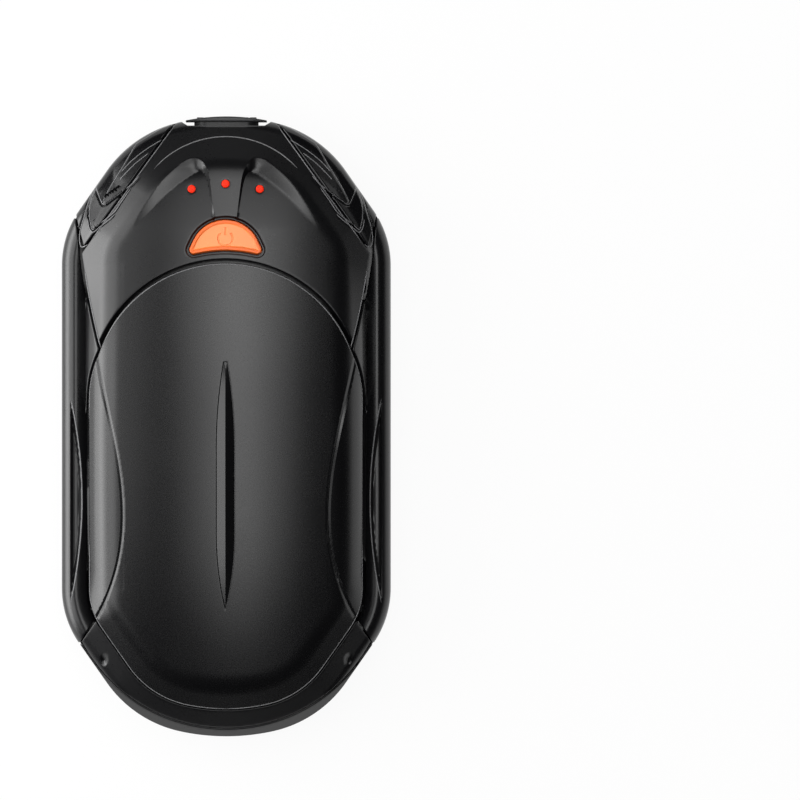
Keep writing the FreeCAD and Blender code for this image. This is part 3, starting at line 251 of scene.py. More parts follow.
def normals_of(points, triangles):
    """Mean of the crossed edges of the triangles round each point, made one long."""
    corner = points[triangles]
    face = np.cross(corner[:, 1] - corner[:, 0], corner[:, 2] - corner[:, 0])
    total = summed(triangles, face, len(points))
    return total / (np.linalg.norm(total, axis=1, keepdims=True) + TINY)


def walled(points, triangles, thickness, rim):
    """Closed moulding from a sheet: its free edge turns down through a quarter circle, runs on as a wall
    to the thickness, and the same sheet moved in along its normals closes the underside."""
    normal = normals_of(points, triangles)
    edges = np.concatenate([triangles[:, [0, 1]], triangles[:, [1, 2]], triangles[:, [2, 0]]])
    code = edges[:, 0] * len(points) + edges[:, 1]
    edges = edges[~np.isin(code, edges[:, 1] * len(points) + edges[:, 0])]
    along = points[edges[:, 1]] - points[edges[:, 0]]
    aside = np.cross(along, normal[edges[:, 0]] + normal[edges[:, 1]])
    aside /= np.linalg.norm(aside, axis=1, keepdims=True) + TINY
    out = summed(edges, aside, len(points))
    border = np.unique(edges)
    out = out[border] * 2 / np.maximum((out[border] ** 2).sum(1, keepdims=True), MITRE_LIMIT)
    rings = [points[border] + rim * math.sin(t) * out - rim * (1 - math.cos(t)) * normal[border]
             for t in np.linspace(0, math.pi / 2, RIM_STEPS)[1:]]
    rings.append(points[border] + rim * out - thickness * normal[border])
    place = np.zeros(len(points), int)
    place[border] = np.arange(len(border))
    steps = [edges] + [place[edges] + len(points) + k * len(border) for k in range(len(rings))]
    under = len(points) + len(rings) * len(border)
    steps.append(edges + under)
    quads = [np.stack([i[:, 1], i[:, 0], o[:, 0], o[:, 1]], 1) for i, o in zip(steps, steps[1:])]
    whole = np.concatenate([points, *rings, points - thickness * normal])
    return whole, [triangles, *quads, triangles[:, ::-1] + under]


def moulding(surface, region, across, along, thickness, rim, lines=(), relief=None):
    """Trimmed sheet of a surface, raised or sunk by its relief and closed to a walled moulding."""
    a, b, triangles = cut_sheet(surface, region, across, along, lines)
    x, y, z, inset = surface(a, b)
    if relief:
        z = z + relief(x, y, z, inset)
    return walled(np.stack([x, y, z], 1), triangles, thickness, rim)


def piece(name, parts, material, crease=38, painted_highlights=()):
    """One object from several closed meshes, smooth except where faces meet at more than the crease angle.
    Its attribute named share is one on the painted highlight parts, raised lines that take the material's
    second colour, a grey painted highlight."""
    points = np.concatenate([part[0] for part in (*parts, *painted_highlights)])
    starts = np.cumsum([0] + [len(part[0]) for part in (*parts, *painted_highlights)])
    faces = [face + start for part, start in zip((*parts, *painted_highlights), starts) for face in part[1]]
    corners = np.concatenate([face.ravel() for face in faces])
    sizes = np.concatenate([np.full(len(face), face.shape[1]) for face in faces])
    mesh = bpy.data.meshes.new(name)
    mesh.vertices.add(len(points))
    mesh.vertices.foreach_set("co", ((points + BODY_SHIFT) * MILLIMETRE).astype(np.float32).ravel())
    mesh.loops.add(len(corners))
    mesh.loops.foreach_set("vertex_index", corners.astype(np.int32))
    mesh.polygons.add(len(sizes))
    mesh.polygons.foreach_set("loop_start", (np.cumsum(sizes) - sizes).astype(np.int32))
    mesh.update(calc_edges=True)
    mesh.validate()
    mesh.shade_smooth()
    mesh.set_sharp_from_angle(angle=math.radians(crease))
    mesh.materials.append(material)
    share = np.arange(len(points)) >= starts[len(parts)]
    mesh.attributes.new("share", "FLOAT", "POINT").data.foreach_set("value", share.astype(np.float32))
    made = bpy.data.objects.new(name, mesh)
    bpy.context.scene.collection.objects.link(made)
    return made


def add_node(tree, kind, inputs=(), **settings):
    """New node with its settings, its constant sockets and its links, in one call."""
    made = tree.nodes.new(kind)
    for label, value in settings.items():
        setattr(made, label, value)
    for socket, value in inputs:
        if isinstance(value, bpy.types.NodeSocket):
            tree.links.new(value, made.inputs[socket])
        else:
            made.inputs[socket].default_value = value
    return made


def maths(tree, operation, *values):
    """Result of a math node on numbers and on other nodes' results."""
    return add_node(tree, "ShaderNodeMath", enumerate(values), operation=operation).outputs[0]


grain = bpy.data.node_groups.new("moulded_grain", "ShaderNodeTree")
for labels, way in ((GRAIN_INPUTS, "INPUT"), (GRAIN_RESULTS, "OUTPUT")):
    for label, kind in labels:
        grain.interface.new_socket(label, in_out=way, socket_type=f"NodeSocket{kind}")
given = grain.nodes.new("NodeGroupInput").outputs
fine, cloud = [add_node(grain, "ShaderNodeTexNoise", [("Vector", given["Place"]), ("Scale", given[scale]),
                                                      ("Detail", detail)]).outputs["Fac"]
               for scale, detail in (("Grain scale", GRAIN_DETAIL), ("Cloud scale", CLOUD_DETAIL))]
swing = maths(grain, "MULTIPLY", maths(grain, "SUBTRACT", cloud, 0.5), given["Cloud share"])
gain = maths(grain, "MULTIPLY_ADD", swing, 2.0, 1.0)
tint = add_node(grain, "ShaderNodeVectorMath", [(0, given["Colour"]), ("Scale", gain)], operation="SCALE")
speck = maths(grain, "MULTIPLY_ADD", fine, SPECK, -SPECK / 2)
rough = maths(grain, "ADD", maths(grain, "MULTIPLY", given["Roughness"], gain), speck)
result = grain.nodes.new("NodeGroupOutput")
for label, value in (("Colour", tint.outputs[0]), ("Roughness", rough), ("Height", fine)):
    grain.links.new(value, result.inputs[label])


def finish(name, colour, roughness, grain_scale, grain_depth, cloud_scale=60, cloud_share=0.12, second=None,
           **sockets):
    """Procedural material: the shared grain, given in grains to the metre, varies colour and roughness and
    makes a bump as deep as grain_depth in metres. A second colour takes over by the mesh's share: a grey
    painted highlight on raised lines, or the button face's paler orange as painted sheen."""
    made = bpy.data.materials.new(name)
    made.use_nodes = True
    tree = made.node_tree
    shader = tree.nodes["Principled BSDF"]
    place = tree.nodes.new("ShaderNodeTexCoord").outputs["Object"]
    skin_grain = add_node(tree, "ShaderNodeGroup", [
        ("Place", place), ("Colour", (*colour, 1)), ("Roughness", roughness), ("Grain scale", grain_scale),
        ("Cloud scale", cloud_scale), ("Cloud share", cloud_share)], node_tree=grain)
    if second:
        share = add_node(tree, "ShaderNodeAttribute", attribute_name="share")
        tones = add_node(tree, "ShaderNodeMix", [(0, share.outputs["Fac"]), (6, (*colour, 1)),
                                                 (7, (*second, 1))], data_type="RGBA")
        tree.links.new(tones.outputs[2], skin_grain.inputs["Colour"])
    bump = add_node(tree, "ShaderNodeBump", [("Strength", 1.0), ("Distance", grain_depth),
                                             ("Height", skin_grain.outputs["Height"])])
    tree.links.new(skin_grain.outputs["Colour"], shader.inputs["Base Color"])
    tree.links.new(skin_grain.outputs["Roughness"], shader.inputs["Roughness"])
    tree.links.new(bump.outputs["Normal"], shader.inputs["Normal"])
    for socket, value in sockets.items():
        shader.inputs[socket.replace("_", " ")].default_value = value
    return made


# Black shell plastic; its hairlines take the grey painted highlight.
shell_black = finish("shell_black_plastic", *SATIN_BLACK, second=PAINTED_HIGHLIGHT_GREY)


def back_region(x, y, z, inset):
    """Below the parting line and outside the back pocket, or on the tail lip, and clear of the grips."""
    lower = np.maximum(z - PARTING_HEIGHT + SEAM / 2, np.where(z < BACK_ROUND, inset - POCKET_INSET, -FAR))
    shell = np.minimum(lower, tail_zone(x, y))
    return np.maximum.reduce([shell, SEAM - grip_zone(x, y, z), notch_zone(x, y)]) + BACK_RIM


def lip_relief(x, y, z, inset):
    """Tail lip pressed down to a steep straight slope that rises with the inset."""
    slope = LIP_FOOT + LIP_SLOPE * inset
    return np.where(tail_zone(x, y) < 0, np.minimum(slope - z, 0) * (z > LIP_FOOT), 0)


def port_plane(level):
    """Flat end face across the notch at one level along the body, facing out."""
    return lambda a, b: (-a, np.full_like(a, level), b, a * 0)


def port_hole(x, z, half_width, half_height):
    """Below zero inside a round-ended bar round the charging socket's middle."""
    return np.hypot(np.maximum(np.abs(x) - half_width + half_height, 0), z - PORT_HEIGHT) - half_height


def end_face(x, z, low, high):
    """Below zero on the flat end face between two heights, inside the shell's back round and shelf round,
    less the plug's opening."""
    inset = np.maximum(outline_inset(x, np.full_like(x, NOTCH_FLAT))[0], 0)
    back = BACK_ROUND - np.sqrt(BACK_ROUND ** 2 - np.maximum(BACK_ROUND - inset, 0) ** 2)
    shelf = SHELF_HEIGHT - SHELF_ROUND + np.sqrt(SHELF_ROUND ** 2 - np.maximum(SHELF_ROUND - inset, 0) ** 2)
    middle, half = (low + high) / 2, (high - low) / 2
    edges = np.maximum.reduce([np.abs(x) - FACE_HALF_WIDTH, np.abs(z - middle) - half + SEAM / 2,
                               back + SEAM - z, z - shelf + SEAM])
    return np.maximum(edges, -port_hole(x, z, *PORT_HOLE)) + FINE_RIM


def port_floor(x, y, z, inset):
    """Below zero on the floor of the plug's opening, a ring round the charging socket."""
    return np.maximum(port_hole(x, z, *PORT_FLOOR), -port_hole(x, z, *SOCKET_HOLE)) + FINE_RIM


def lofted(rings):
    """Closed skin over a stack of rings with the same number of points, with a fan at both ends."""
    last, count = len(rings) - 1, len(rings[0])
    points = np.concatenate([*rings, [rings[0].mean(0), rings[-1].mean(0)]])
    i = np.arange(count)
    j = (i + 1) % count
    base = np.arange(last)[:, None] * count
    quads = np.stack([base + i, base + j, base + count + j, base + count + i], -1).reshape(-1, 4)
    low, high = np.full(count, len(points) - 2), np.full(count, len(points) - 1)
    return points, [quads, np.stack([low, j, i], 1), np.stack([high, last * count + i, last * count + j], 1)]


def drum(loop, levels, place=np.asarray):
    """Closed loop, moved inwards by each level's inset and stacked at its height."""
    rings = [np.column_stack([loop(inset), np.full(len(loop(inset)), height)]) for inset, height in levels]
    return lofted([place(ring) for ring in rings])


def rounded_levels(low, high, radius):
    """Heights and insets of a straight wall with a quarter round at both ends."""
    turn = np.linspace(0, math.pi / 2, ROUND_STEPS)
    return ([(radius * (1 - math.sin(t)), low + radius * (1 - math.cos(t))) for t in turn]
            + [(radius * (1 - math.cos(t)), high - radius * (1 - math.sin(t))) for t in turn])


def crosswise(points):
    """Turns a stack so that its height runs across the body."""
    return np.stack([points[:, 2], points[:, 0], points[:, 1]], 1)


def arc_points(x, y, radius, turn):
    """Places on a circle round a centre, at the given angles."""
    return np.stack([x + radius * np.cos(turn), y + radius * np.sin(turn)], 1)


def ear_loop(inset):
    """Side view of a hinge ear: a half circle round the pin and two straight runs back into the end face."""
    radius = KNUCKLE_RADIUS - inset
    nose = arc_points(HINGE_LEVEL, HINGE_HEIGHT, radius, np.linspace(-math.pi / 2, math.pi / 2, EAR_STEPS))
    return np.concatenate([nose, [(EAR_FOOT, HINGE_HEIGHT + radius), (EAR_FOOT, HINGE_HEIGHT - radius)]])


back_mould = moulding(skin, back_region, *field(BACK_FIELD, BACK_STEP), BACK_WALL, BACK_RIM, relief=lip_relief)
end_plate = moulding(port_plane(NOTCH_FLAT),
                     lambda x, y, z, inset: end_face(x, z, FACE_BOTTOM, PARTING_HEIGHT),
                     *field(END_FIELD, PORT_STEP), FACE_THICKNESS, FINE_RIM)
socket_floor = moulding(port_plane(NOTCH_FLAT - FACE_THICKNESS), port_floor, *field(SOCKET_FIELD, PORT_STEP),
                        FLOOR_THICKNESS, FINE_RIM)
ears = [drum(ear_loop, rounded_levels(low, high, EAR_ROUND), crosswise) for low, high in EAR_ENDS]
back_shell = piece("back_housing_shell", [back_mould, end_plate, socket_floor, *ears], shell_black)
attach(back_shell, "housing")
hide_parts("back_housing")

# Back panel. A thin flat plate let into the back housing over the screws, moulded in the same black
# as the front panel and glued in, with one shallow oval line round its heat field.
BACK_PANEL_INSET, BACK_PANEL_THICKNESS = 7.6, 1.2
OVAL_INSET, OVAL_HALF_WIDTH, OVAL_DEPTH = 12.5, 0.75, 0.2
PLATE_FIELD, PLATE_STEP, PLATE_RIM = (-22, 22, -47, 47), 0.3, 0.3
PANEL_BLACK = (0.0022, 0.0022, 0.0026), 0.27, 3000, 1.1e-6
# Black panel plastic; its hairlines take the grey painted highlight.
panel_black = finish("panel_black_plastic", *PANEL_BLACK, second=PAINTED_HIGHLIGHT_GREY)


def back_plane(a, b):
    """Flat back face, seen from below: the first axis is turned round so that the plate faces down."""
    return -a, b, np.zeros_like(a), outline_inset(a, b)[0]


def back_oval(x, y, z, inset):
    """Round-bottomed groove where the inset is near the oval's, as deep as a raised cosine."""
    return OVAL_DEPTH / 2 * (1 + np.cos(math.pi * np.clip((inset - OVAL_INSET) / OVAL_HALF_WIDTH, -1, 1)))


back_plate = moulding(back_plane, lambda x, y, z, inset: BACK_PANEL_INSET + PLATE_RIM - inset,
                      *field(PLATE_FIELD, PLATE_STEP), BACK_PANEL_THICKNESS, PLATE_RIM, relief=back_oval,
                      lines=[lambda x, y, z, inset, d=d: inset - OVAL_INSET + d
                             for d in (-OVAL_HALF_WIDTH, OVAL_HALF_WIDTH, 0)])
back_cover = piece("back_panel_plate", [back_plate], panel_black)
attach(back_cover, "housing")
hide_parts("back_panel")

# Front housing. The upper half of the shell: head with brow recesses, the collar round the panel, and
# the chin, all one black moulding with beds under the separate trims.
PANEL_APEX = 28.4236
PANEL_SIDE_X, PANEL_SIDE_Y = 23.9, 4.6081
PANEL_INSET = 4.7
GUARD_TOP, GUARD_TIP = (9.4952, 52.406), (24.739, 31.2229)
panel_arc = circle_through((-PANEL_CORNER[0], PANEL_CORNER[1]), (0.0, PANEL_APEX), PANEL_CORNER)
rise, reach = PANEL_CORNER[1] - PANEL_SIDE_Y, PANEL_SIDE_X - PANEL_CORNER[0]
bow_radius = (rise ** 2 + reach ** 2) / (2 * reach)
panel_bow = (PANEL_SIDE_X - bow_radius, PANEL_SIDE_Y, bow_radius)
BUTTON_FOOT, BUTTON_SHOULDER_RADIUS, BUTTON_TOP = (5.5, 30.7036), 5.4, 35.8036
BUTTON_HOLLOW, BUTTON_CORNER, BUTTON_GAP = 0.65, 0.7, 0.6
LAMPS = ((-5.9, 41.2025), (0.0, 42.1025), (5.9, 41.2025))
LAMP_RADIUS, LAMP_GAP = 0.7, 0.1
BROW_OUTER = ((16.2, 34.4), (14.87, 37.07), (13.2, 39.7), (11.2, 42.4), (8.87, 44.7), (6.66, 46.4),
              (4.7, 46.5), (3.53, 45.2), (2.83, 43.3), (2.3, 39.4), (1.95, 36.4), (1.8, 33.6), (6.0, 32.6))
BROW_INNER = ((15.9, 34.3), (13.5, 36.9), (11.2, 39.4), (8.4, 41.9), (6.3, 43.4), (4.8, 44.2), (3.75, 43.9),
              (3.1, 42.2), (2.6, 39.2), (2.2, 36.4), (2.05, 33.8), (6.0, 33.0))
BROW_RUNOUT, BROW_LENGTH, BROW_DEPTH, BROW_MOST, BROW_POWER, BROW_STEPS = 34.0, 9.5, 1.3, 1.15, 1.5, 5
BUTTON_BASE_STEPS, TOUCH_START, TOUCH_PLACES = 21, 0.8, 48
COLLAR_FOOT, COLLAR_BASE = 1.6, 15.15
HEAD_COLLAR, CHIN_COLLAR = (8.0, 16.0), (25.0, 33.0)
COLLAR_LINE = ((-12.4, 44.8), (0.0, 50.35), (12.4, 44.8))
ARC_GAP, CHIN_GAP = 0.6, 0.12
LINE_RADIUS, LINE_TAPER, LINE_TIP, LINE_SIDES = 0.1, 0.08, 0.15, 8
GUARD_LINE_MOVE, GUARD_LINE_END = (-0.4, -0.29), (-0.9, 1.25)
SEAM_LINE_INSET, SEAM_LINE_TOP, SEAM_LINE_FOOT, COLLAR_PLACES, SIDE_PLACES = 0.5, 9.5, 0.8, 80, 60
DIMPLE, DIMPLE_HALF, DIMPLE_DEPTH = (21.2, -40.4), (0.6, 1.05), 0.5
FACE_TOP = 14.8
SILL_DEPTH, SILL_GAP, SILL_REACH, SILL_THICKNESS = 1.0, 0.22, 0.95, 0.5
BED_DEPTH, BED_THICKNESS, BED_REACH, BED_FOOT = 1.75, 0.5, 3.0, 1.5
BED_BUTTON_GAP, BED_LAMP_GAP, BED_NOTCH_GAP = 0.8, 0.6, 2.0
HEAD_FIELD, HEAD_STEP, HEAD_WALL, HEAD_RIM, HEAD_END = (-35.1, 35.1, 7.8, 60.84), 0.26, 1.5, 0.25, 9.0
CHIN_FIELD, CHIN_STEP, CHIN_RIM, CHIN_END = (-33.0, 33.0, -60.6, -27.9), 0.3, 0.1, -28.0
SILL_FIELD, SILL_STEP, BED_FIELD, BED_STEP = (-8.4, 8.4, 27.4, 38.4), 0.2, (-37.8, 37.8, -63.0, 63.0), 0.9
FACE_FIELD = (-8.6, 8.6, 10.0, 15.4)


def panel_zone(x, y, inset):
    """Below zero on the front panel: under the seam arc at the top, inside the bowed sides lower down."""
    bow = np.where(y > PANEL_SIDE_Y, from_circle(x, y, panel_bow), -FAR)
    return np.where(y > PANEL_CORNER[1], from_circle(x, y, panel_arc), np.maximum(bow, PANEL_INSET - inset))


def guard_zone(x, y):
    """Below zero on a shoulder guard: beyond the straight cut and above the guard's lower edge."""
    return np.maximum(beyond(x, y, GUARD_TIP, GUARD_TOP), -beyond(x, y, GUARD_TIP, GRIP_TOP))


def loop_distance(x, y, loop):
    """Distance to a closed line of straight runs, below zero inside it by the count of runs crossed."""
    ends = np.roll(loop, -1, axis=0)
    least = np.full(x.shape, np.inf)
    crossed = np.zeros(x.shape, bool)
    for (sx, sy), (ex, ey) in zip(loop, ends):
        run_x, run_y = ex - sx, ey - sy
        share = np.clip(((x - sx) * run_x + (y - sy) * run_y) / (run_x ** 2 + run_y ** 2 + TINY), 0, 1)
        least = np.minimum(least, np.hypot(x - sx - share * run_x, y - sy - share * run_y))
        if sy != ey:
            crossed ^= ((sy > y) != (ey > y)) & (x < sx + run_x * (y - sy) / run_y)
    return np.where(crossed, -least, least)


def smooth_run(points, count):
    """Curve through the points, each stretch a cubic whose slopes are half the chord of its neighbours."""
    p = np.array([points[0], *points, points[-1]])
    t = np.linspace(0, 1, count, endpoint=False)[:, None]
    stretches = [b + ((c - a) * t + (2 * a - 5 * b + 4 * c - d) * t ** 2 + (3 * b - a - 3 * c + d) * t ** 3) / 2
                 for a, b, c, d in zip(p, p[1:], p[2:], p[3:])]
    return np.concatenate([*stretches, p[-1:]])


def button_loop():
    """Half moon inside its corner rounds: a crown arc, two straight slants and a hollow base arc."""
    centre_y = BUTTON_TOP - BUTTON_CORNER - BUTTON_SHOULDER_RADIUS
    reach_x, reach_y = BUTTON_FOOT[0], BUTTON_FOOT[1] - centre_y
    lean = math.atan2(reach_y, reach_x) + math.acos(BUTTON_SHOULDER_RADIUS / math.hypot(reach_x, reach_y))
    crown = arc_points(0, centre_y, BUTTON_SHOULDER_RADIUS, np.linspace(lean, math.pi - lean, ARC_STEPS))
    x = np.linspace(-BUTTON_FOOT[0], BUTTON_FOOT[0], BUTTON_BASE_STEPS)
    base = np.stack([x, BUTTON_FOOT[1] + BUTTON_HOLLOW * (1 - (x / BUTTON_FOOT[0]) ** 2)], 1)
    return np.concatenate([crown, base])


def button_zone(x, y):
    """Below zero on the button's outline, its core loop grown by the corner round."""
    return loop_distance(x, y, button_core) - BUTTON_CORNER


def lamp_zone(x, y, radius):
    """Below zero inside the round hole of any of the three lamps."""
    return np.minimum.reduce([np.hypot(x - lamp_x, y - lamp_y) for lamp_x, lamp_y in LAMPS]) - radius


button_core = button_loop()
brow_outer, brow_inner = smooth_run(BROW_OUTER, BROW_STEPS), smooth_run(BROW_INNER, BROW_STEPS)


def brow_edge(x, y, z, inset):
    """Below zero inside the outer line of either brow."""
    return loop_distance(np.abs(x), y, brow_outer)


def brow_floor(x, y, z, inset):
    """Below zero inside the inner line of either brow."""
    return loop_distance(np.abs(x), y, brow_inner)


def brow_relief(x, y, z, inset):
    """Scoop between two brow lines: a band slants down from the outer to the inner one, and the floor inside
    comes back up to the surface towards the button."""
    inside = np.maximum(-brow_edge(x, y, z, inset), 0)
    band = inside / (inside + np.maximum(brow_floor(x, y, z, inset), 0) + TINY)
    return -BROW_DEPTH * band * np.clip((y - BROW_RUNOUT) / BROW_LENGTH, 0, BROW_MOST) ** BROW_POWER


def collar_rise(x, y, z, inset):
    """Slope round both ends in place of the flat shelf: the line from the shelf's edge that touches the
    rolled dome, the steepest of the lines to many places on it, let in gradually along the length."""
    depth, out_x, out_y = outline_inset(x, y)
    places = np.linspace(DOME_INSET + TOUCH_START, DOME_INSET + DOME_ROUND, TOUCH_PLACES)
    domes = [dome_height(x + out_x * (depth - place), y + out_y * (depth - place), place, out_x, out_y)
             for place in places]
    leans = np.array([(dome - COLLAR_BASE) / (place - COLLAR_FOOT) for dome, place in zip(domes, places)])
    touch = places[np.argmax(leans, axis=0)]
    rise = np.maximum(COLLAR_BASE + leans.max(axis=0) * (depth - COLLAR_FOOT) - z, 0)
    share = np.maximum(np.clip((y - HEAD_COLLAR[0]) / (HEAD_COLLAR[1] - HEAD_COLLAR[0]), 0, 1),
                       np.clip((-y - CHIN_COLLAR[0]) / (CHIN_COLLAR[1] - CHIN_COLLAR[0]), 0, 1))
    return share * rise * ((depth > COLLAR_FOOT) & (depth < touch))


def head_relief(x, y, z, inset):
    """The collar's slope with the two brow scoops in it."""
    return collar_rise(x, y, z, inset) + brow_relief(x, y, z, inset)


def on_top(x, y):
    """Point of the outer form above a place: the unrolled plan is walked back from the inset on its upper
    half."""
    inset, out_x, out_y = outline_inset(x, y)
    upper = len(quarter) + 1
    flat = np.interp(inset, edge_inset[upper:], edge_flat[upper:])
    return skin(x - out_x * (flat - inset), y - out_y * (flat - inset))


def hairline(run, radius, relief, side=1):
    """Raised line along a run of places on the surface: a circle across the run at each, shrunk at both
    ends."""
    x, y, z, inset = on_top(run[:, 0], run[:, 1])
    path = np.stack([side * x, y, z + relief(x, y, z, inset)], 1)
    way = np.gradient(path, axis=0)
    way /= np.linalg.norm(way, axis=1, keepdims=True)
    aside = np.cross(way, (0, 0, 1))
    aside /= np.linalg.norm(aside, axis=1, keepdims=True)
    lift = np.cross(aside, way)
    share = np.linspace(0, 1, len(path))
    size = radius * np.clip(np.minimum(share, 1 - share) / LINE_TAPER + LINE_TIP, 0, 1)[:, None, None]
    turn = np.linspace(0, 2 * math.pi, LINE_SIDES, endpoint=False)[None, :, None]
    return lofted(path[:, None] + size * (np.cos(turn) * aside[:, None] + np.sin(turn) * lift[:, None]))


def head_region(x, y, z, inset):
    """Head and collar: outside the panel, grips and guards, above the parting line, less the button's,
    lamps' and notch's openings."""
    region = np.maximum.reduce([
        ARC_GAP - panel_zone(x, y, inset), from_circle(x, y, grip_seam) + SEAM, SEAM - guard_zone(x, y),
        PARTING_HEIGHT + SEAM / 2 - z, notch_zone(x, y), BUTTON_GAP - button_zone(x, y), HEAD_END - y])
    return np.maximum(region + HEAD_RIM, FINE_RIM - lamp_zone(x, y, LAMP_RADIUS + LAMP_GAP))


def chin_region(x, y, z, inset):
    """Chin: below the panel, inside the tail seam and below the heel lines of the grips."""
    return np.maximum.reduce([
        CHIN_GAP - panel_zone(x, y, inset), SEAM - beyond(x, y, GRIP_END, GRIP_HEEL),
        CHIN_GAP - tail_zone(x, y), PARTING_HEIGHT + SEAM / 2 - z, y - CHIN_END]) + CHIN_RIM


def bed_region(x, y, z, inset):
    """Bed under the trims: the rim round the panel's opening, less the button and lamp openings."""
    return np.maximum.reduce([
        -BED_REACH - panel_zone(x, y, inset), BED_BUTTON_GAP - button_zone(x, y),
        BED_LAMP_GAP - lamp_zone(x, y, LAMP_RADIUS), GRIP_LOW + BED_FOOT - z, notch_zone(x, y) + BED_NOTCH_GAP])


def sunk_skin(depth):
    """The outer form moved in by a depth along its own normal, found from two small steps on the plan."""
    def sheet(a, b):
        """One point of the sunk form, its inset kept."""
        x, y, z, inset = skin(a, b)
        here = np.stack([x, y, z], -1)
        along_a = np.stack(skin(a + PROBE, b)[:3], -1) - here
        along_b = np.stack(skin(a, b + PROBE)[:3], -1) - here
        normal = np.cross(along_a, along_b)
        normal /= np.linalg.norm(normal, axis=-1, keepdims=True) + TINY
        sunk = here - depth * normal
        return sunk[..., 0], sunk[..., 1], sunk[..., 2], inset
    return sheet


def sill_region(x, y, z, inset):
    """Ledge in the button's opening, from just outside the button into the head's wall."""
    return np.maximum(SILL_GAP - button_zone(x, y), button_zone(x, y) - SILL_REACH) + FINE_RIM


def chin_relief(x, y, z, inset):
    """The collar's slope, with two small oval dimples."""
    dimple = np.hypot((np.abs(x) - DIMPLE[0]) / DIMPLE_HALF[0], (y - DIMPLE[1]) / DIMPLE_HALF[1])
    return collar_rise(x, y, z, inset) - DIMPLE_DEPTH * np.clip(1 - dimple ** 2, 0, 1)


def top_arc(circle, half_width, count, shrink=0.0):
    """Places along the top of a circle from left to right, as far out as a half width of it, with the
    circle made smaller."""
    reach = math.asin(half_width / circle[2])
    return arc_points(circle[0], circle[1], circle[2] - shrink,
                      math.pi / 2 + np.linspace(reach, -reach, count))


def circle_side(circle, y, shrink=0.0, side=1):
    """Places on one side of a circle at the given lengths along the body, with the circle made smaller."""
    return np.stack([circle[0] + side * np.sqrt((circle[2] - shrink) ** 2 - (y - circle[1]) ** 2), y], 1)


head = moulding(skin, head_region, *field(HEAD_FIELD, HEAD_STEP), HEAD_WALL, HEAD_RIM,
                lines=(brow_edge, brow_floor), relief=head_relief)
chin = moulding(skin, chin_region, *field(CHIN_FIELD, CHIN_STEP), HEAD_WALL, CHIN_RIM, relief=chin_relief)
sill = moulding(sunk_skin(SILL_DEPTH), sill_region, *field(SILL_FIELD, SILL_STEP), SILL_THICKNESS, FINE_RIM)
bed = moulding(sunk_skin(BED_DEPTH), bed_region, *field(BED_FIELD, BED_STEP), BED_THICKNESS, FINE_RIM)
face = moulding(port_plane(NOTCH_FLAT), lambda x, y, z, inset: end_face(x, z, PARTING_HEIGHT, FACE_TOP),
                *field(FACE_FIELD, PORT_STEP), FACE_THICKNESS, FINE_RIM)
collar_run = top_arc(circle_through(*COLLAR_LINE), COLLAR_LINE[2][0], COLLAR_PLACES)
guard_top, guard_tip = np.add(GUARD_TOP, GUARD_LINE_MOVE), np.add(GUARD_TIP, GUARD_LINE_MOVE)
guard_run = np.linspace(guard_top, guard_tip + GUARD_LINE_END, SIDE_PLACES)
seam_y = np.linspace(GRIP_TOP[1] - SEAM_LINE_TOP, PANEL_CORNER[1] + SEAM_LINE_FOOT, SIDE_PLACES)
seam_run = circle_side(grip_seam, seam_y, SEAM_LINE_INSET)
head_lines = [hairline(run, LINE_RADIUS, head_relief, side)
              for run in (guard_run, seam_run) for side in (-1, 1)]
# The collar line and the guard and seam lines are coloured grey as painted highlights.
front_shell = piece("front_housing_shell", [head, chin, sill, bed, face], shell_black,
                    painted_highlights=[hairline(collar_run, LINE_RADIUS, head_relief), *head_lines])
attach(front_shell, "housing")
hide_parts("front_housing")

# Front panel. The crowned heat panel, a thin black moulding with a finely grained satin face,
# a raised blade-like spine and two shallow bowed creases.
SPINE_TOP, SPINE_BOTTOM, SPINE_HALF_WIDTH, SPINE_HEIGHT, SPINE_GROOVE = 11.1972, -31.3843, 1.5, 0.8, -0.03
CREASE = ((22.69, 13.13), (20.96, 4.61), (19.6, -0.43), (18.62, -5.48), (18.05, -10.87), (17.84, -16.35),
          (18.24, -20.61), (19.22, -26.0), (20.96, -30.35), (22.31, -32.85))
CREASE_HALF_WIDTH, CREASE_DEPTH, CREASE_DEGREE = 0.4, 0.22, 4
EDGE_LINE, EDGE_LINE_RADIUS, ARC_PLACES, BOW_PLACES, ROUND_PLACES = 0.25, 0.07, 90, 20, 40
SPINE_NARROW, SPINE_WIDE, SPINE_FULL, SPINE_FALL = 0.17, 0.35, 0.4, 0.7
SPINE_TICKS, MIDDLE_TICKS, SIDE_TICKS = (-2.25, 2.25, 31), (2.6, 16.4, 33), (16.8, 26.8, 0.16)
PANEL_ALONG, PANEL_WALL, PANEL_RIM = (-52.8, 29.2, 0.34), 1.4, 0.2
BLADE_FIELD, BLADE_STEPS = (-1.6, 1.6, SPINE_BOTTOM - 0.4, SPINE_TOP + 0.2), (0.1, 0.2)
BLADE_EDGE, BLADE_WALL, BLADE_RIM = 0.03, 0.9, 0.02
crease_curve = np.polyfit([y for _, y in CREASE], [x for x, _ in CREASE], CREASE_DEGREE)


def blade(y, full):
    """Rise along the blade that is full at a share of its length, and its fall to a point at the bottom."""
    share = np.clip((SPINE_TOP - y) / (SPINE_TOP - SPINE_BOTTOM), 0, 1)
    rise = 1 - (1 - np.clip(share / full, 0, 1)) ** 2
    return rise, 1 - np.clip((share - SPINE_FALL) / (1 - SPINE_FALL), 0, 1) ** 2


def spine_half_width(y):
    """Half width along the blade: it widens from a narrow top and runs to a point at the bottom."""
    rise, fall = blade(y, SPINE_WIDE)
    return SPINE_HALF_WIDTH * (SPINE_NARROW + (1 - SPINE_NARROW) * rise) * fall


def spine_zone(x, y):
    """Below zero inside the blade's foot line, between its two ends."""
    return np.maximum(np.abs(x) - spine_half_width(y), np.maximum(y - SPINE_TOP, SPINE_BOTTOM - y))


def panel_region(x, y, z, inset):
    """The panel inside its edge's round, less the groove round the blade's foot."""
    return np.maximum(panel_zone(x, y, inset), SPINE_GROOVE - spine_zone(x, y)) + PANEL_RIM


